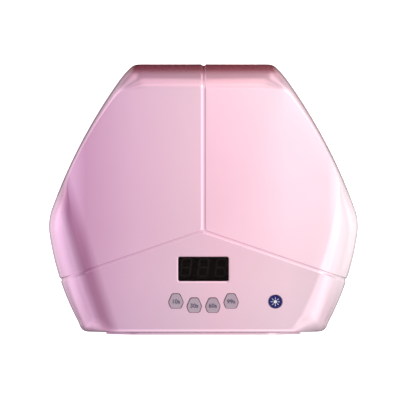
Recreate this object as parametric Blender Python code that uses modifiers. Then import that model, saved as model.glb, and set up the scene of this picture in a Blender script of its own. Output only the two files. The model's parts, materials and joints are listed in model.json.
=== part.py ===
"""A UV LED nail lamp: a faceted shell over a lit hand cavity, with four time keys and a tray that slides out.

The frame has +X to the right, -Y to the front, where the hand goes in, and +Z up. The feet stand at z = 0.
"""

import math

import bmesh
import bpy
from mathutils import Matrix, Vector
from mathutils.geometry import interpolate_bezier, intersect_line_line_2d

GAP = 0.0003  # the gap between pieces that touch

# The shell: three flat roof panels that meet at the junction, rounded shoulders and upright walls.
CROWN = 0.097
PANEL_TILT = math.radians(19)
JUNCTION = Vector((0, -0.023))
LEG_SLOPE = 0.343
SIDE_FALL = LEG_SLOPE * math.tan(PANEL_TILT)
WALL = 0.0024
RIM = 0.003
SHOULDER_BASE = 0.034
BROW_BASE = 0.067
BROW_HALF = 0.0628
CORNER_HALF = 0.0885
FRONT = -0.0963
SHOULDER_STEPS = 5
ROUND_HANDLE = 0.5523  # how far a quarter round's handles reach towards its corner
GROOVE_HALF = 0.0015
GROOVE_FLOOR_HALF = 0.0010
GROOVE_DEPTH = 0.0010

# Half outlines from the rear centre to the front centre: x, y, bulge of the stretch that follows, its pieces.
WALL_OUTLINE = (
    (0.0, 0.0982, 0, 1),
    (0.0485, 0.0982, 0.0006, 2),
    (0.0525, 0.0962, 0.0004, 2),
    (0.0620, 0.0852, 0.0036, 7),
    (0.1109, -0.0090, 0.0012, 4),
    (0.1115, -0.0280, 0.0029, 5),
    (0.0900, -0.0910, 0.0016, 3),
    (0.0850, FRONT, 0, 4),
    (0.0640, FRONT, 0, 1),
    (0.0, FRONT, 0, 1),
)
ROOF_OUTLINE = (
    (0.0, 0.0790, 0, 1),
    (0.0540, 0.0790, 0.0012, 3),
    (0.0625, 0.0745, 0.0022, 4),
    (0.0964, 0.0175, 0.0007, 3),
    (0.0978, 0.0080, 0.0050, 6),
    (0.0635, -0.0933, 0, 1),
    (0.0, -0.0933, 0, 1),
)

# The front panel's fittings, in the panel's own frame: its origin is the junction, and its +Z points out.
WINDOW = (0.0358, 0.0180)
WINDOW_Y = -0.0291
KEYS = (("key_10s", -0.0199, -0.0533), ("key_30s", -0.0067, -0.0565),
        ("key_60s", 0.0067, -0.0565), ("key_99s", 0.0199, -0.0533))
KEY_OUTLINE = ((-0.0026, 0.0054), (0.0026, 0.0054), (0.0052, -0.0008), (0.0036, -0.0054),
               (-0.0036, -0.0054), (-0.0052, -0.0008))
KEY_TOP = 0.0005
BADGE = (0.0519, -0.0538)
BADGE_RADIUS = 0.0050
BOARD = 0.0016
BOARD_TOP = -0.0110
POST_PLACES = ((-0.032, -0.0185), (0.032, -0.0595), (0.032, -0.0185), (-0.032, -0.0595))
SCREWED_POSTS = POST_PLACES[:2]

# The reflector: a faceted tunnel, open at the front, with rounded rear corners.
REFLECTOR_HALF = 0.067
REFLECTOR_REAR = 0.062
REFLECTOR_BEND = 0.010
REFLECTOR_FRONT = -0.0907
REFLECTOR_BASE = 0.0084
REFLECTOR_WALL = 0.0015
REFLECTOR_RINGS = ((-0.009, REFLECTOR_BASE), (0, REFLECTOR_BASE), (0, 0.026), (0.0015, 0.030),
                   (0.0195, 0.055), (0.0220, 0.057))
ROOF = REFLECTOR_RINGS[-1][1]
CORNER_POWER = 3.5
FACET_ANGLE = math.atan2(0.025, 0.018)
FACET_MIDDLE = 0.0105
FACET_HEIGHT = 0.0425

# The mouth trim, an arch whose sleeve lines the mouth and whose flange stands in front of the shell.
MOUTH_HALF = 0.064
MOUTH_TOP = 0.054
SLEEVE = 0.0031
FLANGE = 0.0068
TRIM_FRONT = -0.0982
TRIM_REAR = -0.0910
TRIM_BASE = 0.0063

# The base: a frame that closes the shell's rim, and the tray that slides on it between two rails.
FRAME_TOP = 0.006
TRAY_HALF = 0.0636
TRAY_THICKNESS = 0.0014
TRAY_BOTTOM = 0.0064
TRAY_REAR = 0.064
TRAY_CORNER = 0.026
TRAY_FRONT = -0.0980
RAIL_INNER = 0.0639
RAIL_OUTER = 0.077
RAIL_TOP = 0.0081
BASE_HOLE = (0.058, -0.0835, 0.048)
BOSS_INSET = 0.0054
BOSS_RADIUS = 0.004
BOSS_TOP = 0.022
BASE_SCREW_Y = (-0.066, 0.072)
REFLECTOR_SCREWS = [(side * 0.0725, y) for side in (-1, 1) for y in (-0.070, -0.005)]
MAGNETS = [(side * 0.040, y) for side in (-1, 1) for y in (-0.0887, 0.0560)]
FEET = (("foot_front_left", -0.078, -0.073), ("foot_front_right", 0.078, -0.073),
        ("foot_rear_left", -0.044, 0.078), ("foot_rear_right", 0.044, 0.078))
FOOT_RADIUS = 0.007

# The rear wall: the jack, the air slots and the driver board behind them.
JACK_X = -0.026
JACK_Z = 0.0175
SLOT_X = [side * (0.012 + 0.0052 * i) for side in (-1, 1) for i in range(6)]
SLOT_Z = 0.0420
SLOT_SIZE = (0.0024, 0.020, 0.013)
DRIVER_Y = 0.0868
DRIVER_CENTRE = (-0.012, 0.0245)
DRIVER_SIZE = (0.066, 0.031)

# Material: colour, roughness, metallic.
MATERIALS = {
    "pink_shell": ((0.80, 0.50, 0.62), 0.18, 0.0),
    "white_plastic": ((0.85, 0.84, 0.84), 0.35, 0.0),
    "reflector": ((0.86, 0.86, 0.88), 0.15, 0.8),
    "dark_window": ((0.012, 0.012, 0.014), 0.08, 0.0),
    "black_plastic": ((0.03, 0.03, 0.03), 0.45, 0.0),
    "key_plastic": ((0.55, 0.42, 0.52), 0.30, 0.0),
    "badge": ((0.015, 0.012, 0.14), 0.25, 0.0),
    "circuit_board": ((0.03, 0.16, 0.07), 0.45, 0.0),
    "white_board": ((0.80, 0.80, 0.78), 0.45, 0.0),
    "steel": ((0.62, 0.62, 0.64), 0.28, 1.0),
    "tray_steel": ((0.70, 0.70, 0.72), 0.22, 1.0),
    "rubber": ((0.05, 0.05, 0.05), 0.85, 0.0),
    "copper": ((0.62, 0.32, 0.18), 0.35, 1.0),
    "cable": ((0.70, 0.05, 0.05), 0.50, 0.0),
}


# ---------------------------------------------------------------- scene and materials


def clear_scene():
    for obj in list(bpy.data.objects):
        bpy.data.objects.remove(obj)


def new_collection(name):
    collection = bpy.data.collections.new(name)
    bpy.context.scene.collection.children.link(collection)
    return collection


def material(slot):
    """The slot's Principled material, made on its first use."""
    if slot in bpy.data.materials:
        return bpy.data.materials[slot]
    colour, roughness, metallic = MATERIALS[slot]
    made = bpy.data.materials.new(slot)
    made.use_nodes = True
    shader = made.node_tree.nodes["Principled BSDF"]
    shader.inputs["Base Color"].default_value = (*colour, 1)
    shader.inputs["Roughness"].default_value = roughness
    shader.inputs["Metallic"].default_value = metallic
    return made


clear_scene()
PARTS = new_collection("uv_led_nail_lamp")
CUTTERS = new_collection("cutters")


def place(obj, parent=None, location=(0, 0, 0), rotation=(0, 0, 0)):
    obj.parent = parent
    obj.location = location
    obj.rotation_euler = rotation
    return obj


def part(name, mesh, slot, **where):
    """Links a named sub-part with its own material, shaded smooth up to 35 degrees."""
    obj = bpy.data.objects.new(name, mesh)
    PARTS.objects.link(obj)
    mesh.materials.clear()
    mesh.materials.append(material(slot))
    mesh.shade_smooth()
    mesh.set_sharp_from_angle(angle=math.radians(35))
    return place(obj, **where)


def cutter(name, mesh, **where):
    obj = bpy.data.objects.new(name, mesh)
    CUTTERS.objects.link(obj)
    obj.hide_render = True
    obj.display_type = "WIRE"
    return place(obj, **where)


def frame_empty(name, location, rotation):
    empty = bpy.data.objects.new(name, None)
    PARTS.objects.link(empty)
    return place(empty, location=location, rotation=rotation)


def boolean(obj, other, operation="DIFFERENCE"):
    modifier = obj.modifiers.new(other.name, "BOOLEAN")
    modifier.operation = operation
    modifier.object = other


# ---------------------------------------------------------------- shapes


def mesh_from(bm, name="shape"):
    bmesh.ops.recalc_face_normals(bm, faces=bm.faces)
    mesh = bpy.data.meshes.new(name)
    bm.to_mesh(mesh)
    bm.free()
    return mesh


def box(size, centre=(0, 0, 0)):
    bm = bmesh.new()
    matrix = Matrix.Translation(centre) @ Matrix.Diagonal((*size, 1))
    bmesh.ops.create_cube(bm, size=1, matrix=matrix)
    return mesh_from(bm)


def span_box(low, high):
    low, high = Vector(low), Vector(high)
    return box(high - low, (low + high) / 2)


def cylinder(radius, bottom, top, tip_radius=None, segments=16):
    """An upright cylinder, or a cone frustum whose top has tip_radius."""
    bm = bmesh.new()
    tip = radius if tip_radius is None else tip_radius
    matrix = Matrix.Translation((0, 0, (bottom + top) / 2))
    bmesh.ops.create_cone(bm, cap_ends=True, segments=segments, radius1=radius, radius2=tip,
                          depth=top - bottom, matrix=matrix)
    return mesh_from(bm)


def turned(profile, segments=16):
    """The solid that a profile of (radius, height) points turns about Z. Its two ends lie on the axis."""
    bm = bmesh.new()
    points = [bm.verts.new((radius, 0, height)) for radius, height in profile]
    edges = [bm.edges.new(pair) for pair in zip(points, points[1:])]
    bmesh.ops.spin(bm, geom=points + edges, axis=(0, 0, 1), cent=(0, 0, 0), angle=math.tau, steps=segments)
    bmesh.ops.remove_doubles(bm, verts=bm.verts, dist=1e-6)
    return mesh_from(bm)


def copies(source, matrices):
    """One mesh with a copy of source at each matrix, as separate solids."""
    bm = bmesh.new()
    for matrix in matrices:
        known = len(bm.verts)
        bm.from_mesh(source)
        bm.verts.ensure_lookup_table()
        bmesh.ops.transform(bm, matrix=matrix, verts=bm.verts[known:])
    return mesh_from(bm)


def at(*places):
    return [Matrix.Translation(point) for point in places]


def plate(outlines, bottom, top):
    """A flat plate with the first outline as its edge and the others as its holes, as a mesh."""
    curve = bpy.data.curves.new("outline", "CURVE")
    curve.dimensions = "2D"
    curve.fill_mode = "BOTH"
    curve.extrude = (top - bottom) / 2
    for outline in outlines:
        spline = curve.splines.new("POLY")
        spline.points.add(len(outline) - 1)
        for point, (x, y) in zip(spline.points, outline):
            point.co = (x, y, 0, 1)
        spline.use_cyclic_u = True
    guide = bpy.data.objects.new("outline", curve)
    bpy.context.scene.collection.objects.link(guide)
    filled = bpy.data.meshes.new_from_object(guide.evaluated_get(bpy.context.evaluated_depsgraph_get()))
    bpy.data.objects.remove(guide)
    bm = bmesh.new()
    bm.from_mesh(filled)
    bmesh.ops.remove_doubles(bm, verts=bm.verts, dist=1e-6)
    bmesh.ops.dissolve_limit(bm, angle_limit=math.radians(0.3), verts=bm.verts, edges=bm.edges)
    bmesh.ops.translate(bm, verts=bm.verts, vec=(0, 0, (bottom + top) / 2))
    return mesh_from(bm)


def rounded(corners, cut, steps=3):
    """The closed outline with each corner cut back by cut and rounded."""
    outline = []
    count = len(corners)
    for i in range(count):
        before, corner, after = (Vector(corners[(i + k) % count]) for k in (-1, 0, 1))
        start = corner + (before - corner).normalized() * cut
        end = corner + (after - corner).normalized() * cut
        for step in range(steps + 1):
            t = step / steps
            outline.append((1 - t) ** 2 * start + 2 * t * (1 - t) * corner + t**2 * end)
    return outline


def rectangle(width, depth, centre=(0, 0)):
    x, y = centre
    return [(x - width / 2, y - depth / 2), (x + width / 2, y - depth / 2),
            (x + width / 2, y + depth / 2), (x - width / 2, y + depth / 2)]


def circle(radius, centre, points=12):
    turns = [math.tau * i / points for i in range(points)]
    return [(centre[0] + radius * math.cos(t), centre[1] + radius * math.sin(t)) for t in turns]


def arc(start, end, bulge, pieces):
    """Points from start up to end, which is left out, on an arc that bulges to the left of its chord."""
    start, end = Vector(start), Vector(end)
    if not bulge:
        return [start.lerp(end, i / pieces) for i in range(pieces)]
    chord = end - start
    radius = chord.length_squared / (8 * bulge) + bulge / 2
    left = Vector((-chord.y, chord.x)).normalized()
    centre = (start + end) / 2 + left * (bulge - radius)
    first = math.atan2(start.y - centre.y, start.x - centre.x)
    sweep = 2 * math.asin(chord.length / 2 / radius)
    angles = [first - sweep * i / pieces for i in range(pieces)]
    return [centre + radius * Vector((math.cos(a), math.sin(a))) for a in angles]


def mirrored(half):
    """The whole closed outline, clockwise from the rear centre, of a half outline with bulges."""
    right = []
    for (x0, y0, bulge, pieces), (x1, y1, *_) in zip(half, half[1:]):
        right += arc((x0, y0), (x1, y1), bulge, pieces)
    right.append(Vector(half[-1][:2]))
    return right + [Vector((-p.x, p.y)) for p in reversed(right[1:-1])]


def inset(outline, distance):
    """The closed clockwise outline moved inwards by distance."""
    moved = []
    count = len(outline)
    for i in range(count):
        before, here, after = (outline[(i + k) % count] for k in (-1, 0, 1))
        first = (here - before).normalized()
        second = (after - here).normalized()
        normal = Vector((first.y + second.y, -first.x - second.x))
        normal /= 1 + first.dot(second)
        moved.append(here + normal * distance)
    return moved


def wire(name, route, radius, spacing, slot):
    """A wire along a smooth curve through the route's points."""
    route = [Vector(point) for point in route]
    padded = [2 * route[0] - route[1], *route, 2 * route[-1] - route[-2]]
    points = []
    for a, b, c, d in zip(padded, padded[1:], padded[2:], padded[3:]):
        pieces = max(1, round((c - b).length / spacing))
        for i in range(pieces):
            t = i / pieces
            points.append(0.5 * (2 * b + (c - a) * t + (2 * a - 5 * b + 4 * c - d) * t**2
                                 + (3 * b - a - 3 * c + d) * t**3))
    points.append(route[-1])
    curve = bpy.data.curves.new(name, "CURVE")
    curve.dimensions = "3D"
    curve.bevel_depth = radius
    curve.bevel_resolution = 2
    curve.use_fill_caps = True
    spline = curve.splines.new("POLY")
    spline.points.add(len(points) - 1)
    for target, point in zip(spline.points, points):
        target.co = (*point, 1)
    curve.materials.append(material(slot))
    obj = bpy.data.objects.new(name, curve)
    PARTS.objects.link(obj)


# ---------------------------------------------------------------- the shell


def roof_height(point):
    """The height of the lowest of the three roof planes over a plan point."""
    front = CROWN + (point.y - JUNCTION.y) * math.tan(PANEL_TILT)
    return min(front, CROWN - SIDE_FALL * abs(point.x))


def shoulder_base(point):
    """The height where the shoulder ends in the upright wall. It rises to the brow across the front."""
    if point.y > FRONT + 0.008:
        return SHOULDER_BASE
    over = max(0, abs(point.x) - BROW_HALF) / (CORNER_HALF - BROW_HALF)
    return SHOULDER_BASE + (BROW_BASE - SHOULDER_BASE) * math.sqrt(max(0, 1 - over**2))


def roof_slope(direction):
    """How fast the roof rises along a plan direction that leads away from the junction."""
    return min(direction.y * math.tan(PANEL_TILT), -SIDE_FALL * abs(direction.x))


def shoulder(start, slope, end):
    """The (reach, height) points of a quarter round that leaves start along slope and is upright at end."""
    start, end = Vector(start), Vector(end)
    corner = Vector((end.x, start.y + slope * (end.x - start.x)))
    handles = start.lerp(corner, ROUND_HANDLE), end.lerp(corner, ROUND_HANDLE)
    return interpolate_bezier(start, *handles, end, SHOULDER_STEPS + 1)


def reach(start, direction, outline):
    """How far the outline is from start along direction."""
    best = 0
    for a, b in zip(outline, outline[1:] + outline[:1]):
        hit = intersect_line_line_2d(start, start + direction * 0.5, a, b)
        if hit:
            best = max(best, (hit - start).length)
    return best


def shell_columns(outline):
    """(start, direction, groove depth) of each line that runs out from the junction, clockwise.

    Lines along a groove's edges are parallel to it, and the others spread from the panel's corner.
    """
    right_leg = Vector((1, -LEG_SLOPE)).normalized()
    left_leg = Vector((-right_leg.x, right_leg.y))
    rear = Vector((0, 1))
    edges = ((0, GROOVE_DEPTH), (GROOVE_FLOOR_HALF, GROOVE_DEPTH), (GROOVE_HALF, 0))
    columns = []
    for first, last in ((rear, right_leg), (right_leg, left_leg), (left_leg, rear)):
        first_in = Vector((first.y, -first.x))
        last_in = Vector((-last.y, last.x))
        corner = (first_in + last_in) / (1 + first_in.dot(last_in))
        columns += [(JUNCTION + corner * side, first, depth) for side, depth in edges]
        apex = JUNCTION + corner * GROOVE_HALF
        margin = 2 * GROOVE_HALF
        for point in outline:
            out = point - apex
            if first_in.dot(out) > margin and last_in.dot(out) > margin:
                columns.append((apex, out.normalized(), 0))
        columns += [(JUNCTION + corner * side, last, depth) for side, depth in reversed(edges[1:])]
    return columns


def shell_line(column, wall_outline, thickness):
    """The points of one column, from the junction over the shoulder and down to the rim."""
    start, direction, depth = column
    roof_reach = reach(start, direction, mirrored(ROOF_OUTLINE))
    wall_reach = reach(start, direction, wall_outline)
    if thickness:
        depth = 0
        roof_reach -= 1.7 * thickness
    drop = thickness / math.cos(PANEL_TILT)
    base = shoulder_base(start + direction * reach(start, direction, mirrored(WALL_OUTLINE)))
    top = roof_height(start + direction * roof_reach) - drop
    line = [Vector((*start, roof_height(start) - drop - depth))]
    round_over = shoulder((roof_reach, top - depth), roof_slope(direction), (wall_reach - depth, base))
    for across, height in round_over:
        line.append(Vector((*(start + direction * across), height)))
    line.append(Vector((*line[-1].xy, RIM)))
    return line


def shell_mesh():
    """The closed shell: its outer and inner faces, joined along the rim."""
    outer_wall = mirrored(WALL_OUTLINE)
    columns = shell_columns(outer_wall)
    bm = bmesh.new()
    rims = []
    for wall_outline, thickness in ((outer_wall, 0), (inset(outer_wall, WALL), WALL)):
        lines = [[bm.verts.new(p) for p in shell_line(c, wall_outline, thickness)] for c in columns]
        for one, other in zip(lines, lines[1:] + lines[:1]):
            for a, b, c, d in zip(one, one[1:], other[1:], other):
                bm.faces.new((a, b, c, d))
        rims.append([line[-1] for line in lines])
    outer, inner = rims
    for i in range(len(outer)):
        bm.faces.new((outer[i - 1], outer[i], inner[i], inner[i - 1]))
    bmesh.ops.remove_doubles(bm, verts=bm.verts, dist=1e-6)
    return mesh_from(bm, "top_shell")


def boss_places():
    """The plan points of the base screws, each a fixed distance inside the wall."""
    line = inset(mirrored(WALL_OUTLINE), BOSS_INSET)
    places = []
    for y in BASE_SCREW_Y:
        x = reach(Vector((0, y)), Vector((1, 0)), line)
        places += [(-x, y), (x, y)]
    return places


def arch(half, top, bottom):
    """The mouth's outline in x and z: upright sides, slanted facets and a flat top, with soft corners."""
    facet_width, facet_height = 0.020, 0.028
    corners = [(-half, top - facet_height), (-half + facet_width, top),
               (half - facet_width, top), (half, top - facet_height)]
    soft = rounded([(-half, bottom), *corners, (half, bottom)], 0.006)
    arched = [point for point in soft if point.y > top - facet_height - 0.008]
    return [Vector((-half, bottom)), *arched, Vector((half, bottom))]


FORWARD = (math.pi / 2, 0, 0)  # turns a plate's outline upright, so that its thickness runs along -Y


def make_top_shell(panel):
    shell = part("top_shell", shell_mesh(), "pink_shell")
    bosses = copies(cylinder(BOSS_RADIUS, FRAME_TOP + GAP, BOSS_TOP, segments=12),
                    at(*[(x, y, 0) for x, y in boss_places()]))
    boolean(shell, cutter("shell_bosses", bosses), "UNION")
    posts = copies(cylinder(0.0025, BOARD_TOP + GAP, -0.0018, segments=10),
                   at(*[(x, y, 0) for x, y in POST_PLACES]))
    boolean(shell, cutter("board_posts", posts, parent=panel), "UNION")
    boss_pilots = copies(cylinder(0.0015, 0, 0.0185, segments=8), at(*[(x, y, 0) for x, y in boss_places()]))
    boolean(shell, cutter("boss_pilots", boss_pilots))
    post_pilots = copies(cylinder(0.0013, BOARD_TOP - 0.001, -0.005, segments=8),
                         at(*[(x, y, 0) for x, y in SCREWED_POSTS]))
    boolean(shell, cutter("post_pilots", post_pilots, parent=panel))

    mouth = plate([arch(MOUTH_HALF + SLEEVE + GAP, MOUTH_TOP + SLEEVE + GAP, -0.002)], 0.088, 0.102)
    boolean(shell, cutter("mouth", mouth, rotation=FORWARD))
    window = plate([rounded(rectangle(WINDOW[0] + 2 * GAP, WINDOW[1] + 2 * GAP), 0.0015)], -0.006, 0.006)
    boolean(shell, cutter("window_opening", window, parent=panel, location=(0, WINDOW_Y, 0)))
    key_hole = plate([key_outline(GAP)], -0.006, 0.006)
    boolean(shell, cutter("key_holes", copies(key_hole, at(*[(x, y, 0) for _, x, y in KEYS])), parent=panel))
    recess = cylinder(BADGE_RADIUS + GAP, -0.0006, 0.003, segments=24)
    boolean(shell, cutter("badge_recess", recess, parent=panel, location=(*BADGE, 0)))

    slots = copies(box(SLOT_SIZE), at(*[(x, -FRONT, SLOT_Z) for x in SLOT_X]))
    boolean(shell, cutter("air_slots", slots))
    jack_hole = cylinder(0.0050, -0.006, 0.006)
    boolean(shell, cutter("jack_hole", jack_hole, location=(JACK_X, 0.0975, JACK_Z), rotation=FORWARD))


def make_mouth_trim():
    low = TRIM_BASE
    inner = arch(MOUTH_HALF, MOUTH_TOP, low)
    flange_outer = arch(MOUTH_HALF + FLANGE, MOUTH_TOP + FLANGE, low)
    sleeve_outer = arch(MOUTH_HALF + SLEEVE, MOUTH_TOP + SLEEVE, low)
    face = -FRONT + GAP
    flange = plate([flange_outer + inner[::-1]], face, -TRIM_FRONT)
    sleeve = plate([sleeve_outer + inner[::-1]], -TRIM_REAR, face + 0.0006)
    trim = part("mouth_trim", flange, "pink_shell", rotation=FORWARD)
    boolean(trim, cutter("trim_sleeve", sleeve, rotation=FORWARD), "UNION")


# ---------------------------------------------------------------- the front panel's fittings


def key_outline(growth):
    scale = Vector((1 + growth / 0.0052, 1 + growth / 0.0054))
    return rounded([(x * scale.x, y * scale.y) for x, y in KEY_OUTLINE], 0.0014)


def make_display(panel):
    lens = part("display_lens", plate([rounded(rectangle(*WINDOW), 0.0014)], -0.0030, -0.0002),
                "dark_window", parent=panel, location=(0, WINDOW_Y, 0))
    flange = plate([rectangle(WINDOW[0] + 0.004, WINDOW[1] + 0.0036)], -0.0037, -0.0027)
    boolean(lens, cutter("lens_flange", flange, parent=panel, location=(0, WINDOW_Y, 0)), "UNION")
    module = span_box((-0.0188, -0.0095, BOARD_TOP + GAP), (0.0188, 0.0095, -0.0040))
    part("display_module", module, "black_plastic", parent=panel, location=(0, WINDOW_Y, 0))


def make_keys(panel):
    """Each key's cap, with its flange and stem, and the plunger of the switch that it presses."""
    for name, x, y in KEYS:
        spot = {"parent": panel, "location": (x, y, 0)}
        cap = part(name + "_cap", plate([key_outline(0)], -0.0034, KEY_TOP), "key_plastic", **spot)
        flange = plate([key_outline(0.0009)], -0.0040, -0.0028)
        boolean(cap, cutter(name + "_flange", flange, **spot), "UNION")
        stem = cylinder(0.0017, -0.0059, -0.0036, segments=12)
        boolean(cap, cutter(name + "_stem", stem, **spot), "UNION")
        plunger = cylinder(0.0015, -0.0076, -0.0062, segments=12)
        part(name + "_plunger", plunger, "black_plastic", **spot)


def make_control_board(panel):
    spots = [(x, y, 0) for _, x, y in KEYS]
    centre = (0, -0.039)
    outline = rounded(rectangle(0.072, 0.050, centre), 0.002)
    holes = [circle(0.0013, spot) for spot in POST_PLACES]
    board = plate([outline, *holes], BOARD_TOP - BOARD, BOARD_TOP)
    part("control_board", board, "circuit_board", parent=panel)

    wells = copies(cylinder(0.0018, -0.0087, -0.005, segments=12), at(*spots))
    well = cutter("switch_wells", wells, parent=panel)
    for name, x, y in KEYS:
        body = span_box((-0.003, -0.003, BOARD_TOP + GAP), (0.003, 0.003, -0.0072))
        switch = part(name.replace("key", "switch"), body, "steel", parent=panel, location=(x, y, 0))
        boolean(switch, well)

    guide = [rounded(rectangle(0.056, 0.015, (0, -0.0549)), 0.003)]
    guide += [circle(0.0021, spot) for spot in spots]
    part("key_guide", plate(guide, -0.0058, -0.0051), "white_plastic", parent=panel)
    chip = span_box((0.0215, -0.034, BOARD_TOP + GAP), (0.0285, -0.024, BOARD_TOP + 0.0018))
    part("control_chip", chip, "black_plastic", parent=panel)

    underside = BOARD_TOP - BOARD
    screw = turned(((0, -0.0055), (0.0010, -0.0060), (0.0010, underside - GAP), (0.0022, underside - GAP),
                    (0.0020, underside - 0.0015), (0, underside - 0.0017)), 10)
    for number, (x, y) in enumerate(SCREWED_POSTS, 1):
        part(f"board_screw_{number}", screw.copy(), "steel", parent=panel, location=(x, y, 0))


def make_badge(panel):
    disc = turned(((0, 0.0004), (BADGE_RADIUS - 0.0004, 0.0004), (BADGE_RADIUS, 0.0001),
                   (BADGE_RADIUS, -0.0003), (0, -0.0003)), 24)
    part("front_badge", disc, "badge", parent=panel, location=(*BADGE, 0))


# ---------------------------------------------------------------- the reflector and its boards


def reflector_line(shrink, height):
    """One ring of the reflector, from the front left round the rear to the front right."""
    half, rear = REFLECTOR_HALF - shrink, REFLECTOR_REAR - shrink
    points = [(-half, REFLECTOR_FRONT, height)]
    steps = 16
    for step in range(steps + 1):
        turn = math.pi * (1 - step / steps)
        across = abs(math.cos(turn)) ** (2 / CORNER_POWER)
        back = math.sin(turn) ** (2 / CORNER_POWER) if 0 < step < steps else 0
        points.append((math.copysign(half * across, math.cos(turn)), REFLECTOR_BEND + rear * back, height))
    points.append((half, REFLECTOR_FRONT, height))
    return points


def reflector_mesh():
    bm = bmesh.new()
    rings = [[bm.verts.new(p) for p in reflector_line(*ring)] for ring in REFLECTOR_RINGS]
    for low, high in zip(rings, rings[1:]):
        for a, b, c, d in zip(low, low[1:], high[1:], high):
            bm.faces.new((a, b, c, d))
    bm.faces.new(rings[-1])
    return mesh_from(bm, "reflector")


def led_bank(name, reflector, location, rotation, size, leds):
    """A board parallel to a facet, with its soldered LEDs in the facet's holes. +Z points from the hand."""
    bank = frame_empty(name + "_bank", location, rotation)
    bottom = REFLECTOR_WALL + GAP
    outline = plate([rounded(rectangle(*size), 0.002)], bottom, bottom + BOARD)
    board = part("led_board_" + name, outline, "white_board", parent=bank)
    emitter = cylinder(0.0019, -0.0002, bottom + GAP, tip_radius=0.0027, segments=10)
    boolean(board, cutter("leds_" + name, copies(emitter, at(*leds)), parent=bank), "UNION")
    holes = copies(cylinder(0.0032, -0.004, 0.004, segments=10), at(*leds))
    boolean(reflector, cutter("led_holes_" + name, holes, parent=bank))


def make_reflector():
    reflector = part("reflector", reflector_mesh(), "reflector")
    skin = reflector.modifiers.new("thickness", "SOLIDIFY")
    skin.thickness = REFLECTOR_WALL
    skin.offset = 1
    skin.use_even_offset = True

    tilt = FACET_ANGLE
    side_x = REFLECTOR_HALF - FACET_MIDDLE
    rear_y = REFLECTOR_BEND + REFLECTOR_REAR - FACET_MIDDLE
    top_leds = [(x, y, 0) for x in (-0.027, -0.009, 0.009, 0.027) for y in (-0.042, -0.021, 0, 0.021, 0.042)]
    side_leds = [(0, y, 0) for y in (-0.034, -0.017, 0, 0.017, 0.034)]
    rear_leds = [(x, 0, 0) for x in (-0.016, 0, 0.016)]
    led_bank("top", reflector, (0, -0.012, ROOF), (0, 0, 0), (0.072, 0.098), top_leds)
    led_bank("left", reflector, (-side_x, -0.035, FACET_HEIGHT), (0, -tilt, 0), (0.024, 0.080), side_leds)
    led_bank("right", reflector, (side_x, -0.035, FACET_HEIGHT), (0, tilt, 0), (0.024, 0.080), side_leds)
    led_bank("rear", reflector, (0, rear_y, FACET_HEIGHT), (-tilt, 0, 0), (0.046, 0.024), rear_leds)

    eyes = [(x, -0.082, 0) for x in (-0.012, 0.012)]
    eye_holes = copies(cylinder(0.0028, ROOF - 0.004, ROOF + 0.004, segments=12), at(*eyes))
    boolean(reflector, cutter("eye_holes", eye_holes))
    screw_spots = at(*[(x, y, 0) for x, y in REFLECTOR_SCREWS])
    flange_holes = copies(cylinder(0.0015, 0.006, 0.012, segments=8), screw_spots)
    boolean(reflector, cutter("flange_holes", flange_holes))
    make_sensors(eyes)


def make_sensors(eyes):
    bottom = ROOF + REFLECTOR_WALL + GAP
    board = plate([rounded(rectangle(0.036, 0.009, (0, -0.082)), 0.001)], bottom, bottom + BOARD)
    part("sensor_board", board, "circuit_board")
    eye = turned(((0, ROOF + REFLECTOR_WALL), (0.0025, ROOF + REFLECTOR_WALL), (0.0025, ROOF - 0.001),
                  (0.0018, ROOF - 0.0028), (0, ROOF - 0.0035)), 12)
    for name, spot in zip(("ir_emitter", "ir_receiver"), eyes):
        part(name, eye.copy(), "black_plastic", location=spot)


# ---------------------------------------------------------------- the base and the tray


def numbered(name, mesh, spots):
    """A steel piece at each plan point, each its own sub-part with a number in its name."""
    for number, (x, y) in enumerate(spots, 1):
        part(f"{name}_{number}", mesh.copy(), "steel", location=(x, y, 0))


def make_base():
    half, front, rear = BASE_HOLE
    inner = rounded([(-half, front), (half, front), (half, rear), (-half, rear)], 0.012)
    holes = [circle(0.0017, spot, 8) for spot in boss_places()]
    holes += [circle(0.0014, spot, 8) for spot in REFLECTOR_SCREWS]
    edge = inset(mirrored(WALL_OUTLINE), WALL + 3 * GAP)
    frame_mesh = plate([edge, inner, *holes], RIM, FRAME_TOP)
    frame = part("base_frame", frame_mesh, "white_plastic")
    head_seats = copies(cylinder(0.0032, 0, 0.0051, segments=12), at(*[(x, y, 0) for x, y in boss_places()]))
    boolean(frame, cutter("screw_seats", head_seats))
    pockets = copies(cylinder(0.0035, 0.0036, 0.008, segments=12), at(*[(x, y, 0) for x, y in MAGNETS]))
    boolean(frame, cutter("magnet_pockets", pockets))
    magnet = cylinder(0.0032, 0.0039, 0.0057, segments=12)
    numbered("tray_magnet", magnet, MAGNETS)

    screw = turned(((0, 0.0165), (0.0012, 0.0155), (0.0012, 0.0048), (0.0028, 0.0048), (0.0028, 0.0034),
                    (0, 0.0034)), 10)
    numbered("base_screw", screw, boss_places())
    for name, side in (("tray_rail_left", -1), ("tray_rail_right", 1)):
        middle = side * (RAIL_INNER + RAIL_OUTER) / 2
        outline = rounded(rectangle(RAIL_OUTER - RAIL_INNER, 0.130, (middle, -0.0250)), 0.001)
        spots = [circle(0.0016, spot, 8) for spot in REFLECTOR_SCREWS if spot[0] * side > 0]
        part(name, plate([outline, *spots], FRAME_TOP + GAP, RAIL_TOP), "white_plastic")
    head = REFLECTOR_BASE + REFLECTOR_WALL + GAP
    screw = turned(((0, head + 0.0017), (0.0020, head + 0.0015), (0.0026, head), (0.0011, head),
                    (0.0011, 0.0042), (0, 0.0036)), 10)
    numbered("reflector_screw", screw, REFLECTOR_SCREWS)
    foot = turned(((0, RIM - GAP), (FOOT_RADIUS, RIM - GAP), (FOOT_RADIUS, 0.0006), (FOOT_RADIUS - 0.0006, 0),
                   (0, 0)), 20)
    for name, x, y in FEET:
        part(name, foot.copy(), "rubber", location=(x, y, 0))


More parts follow.
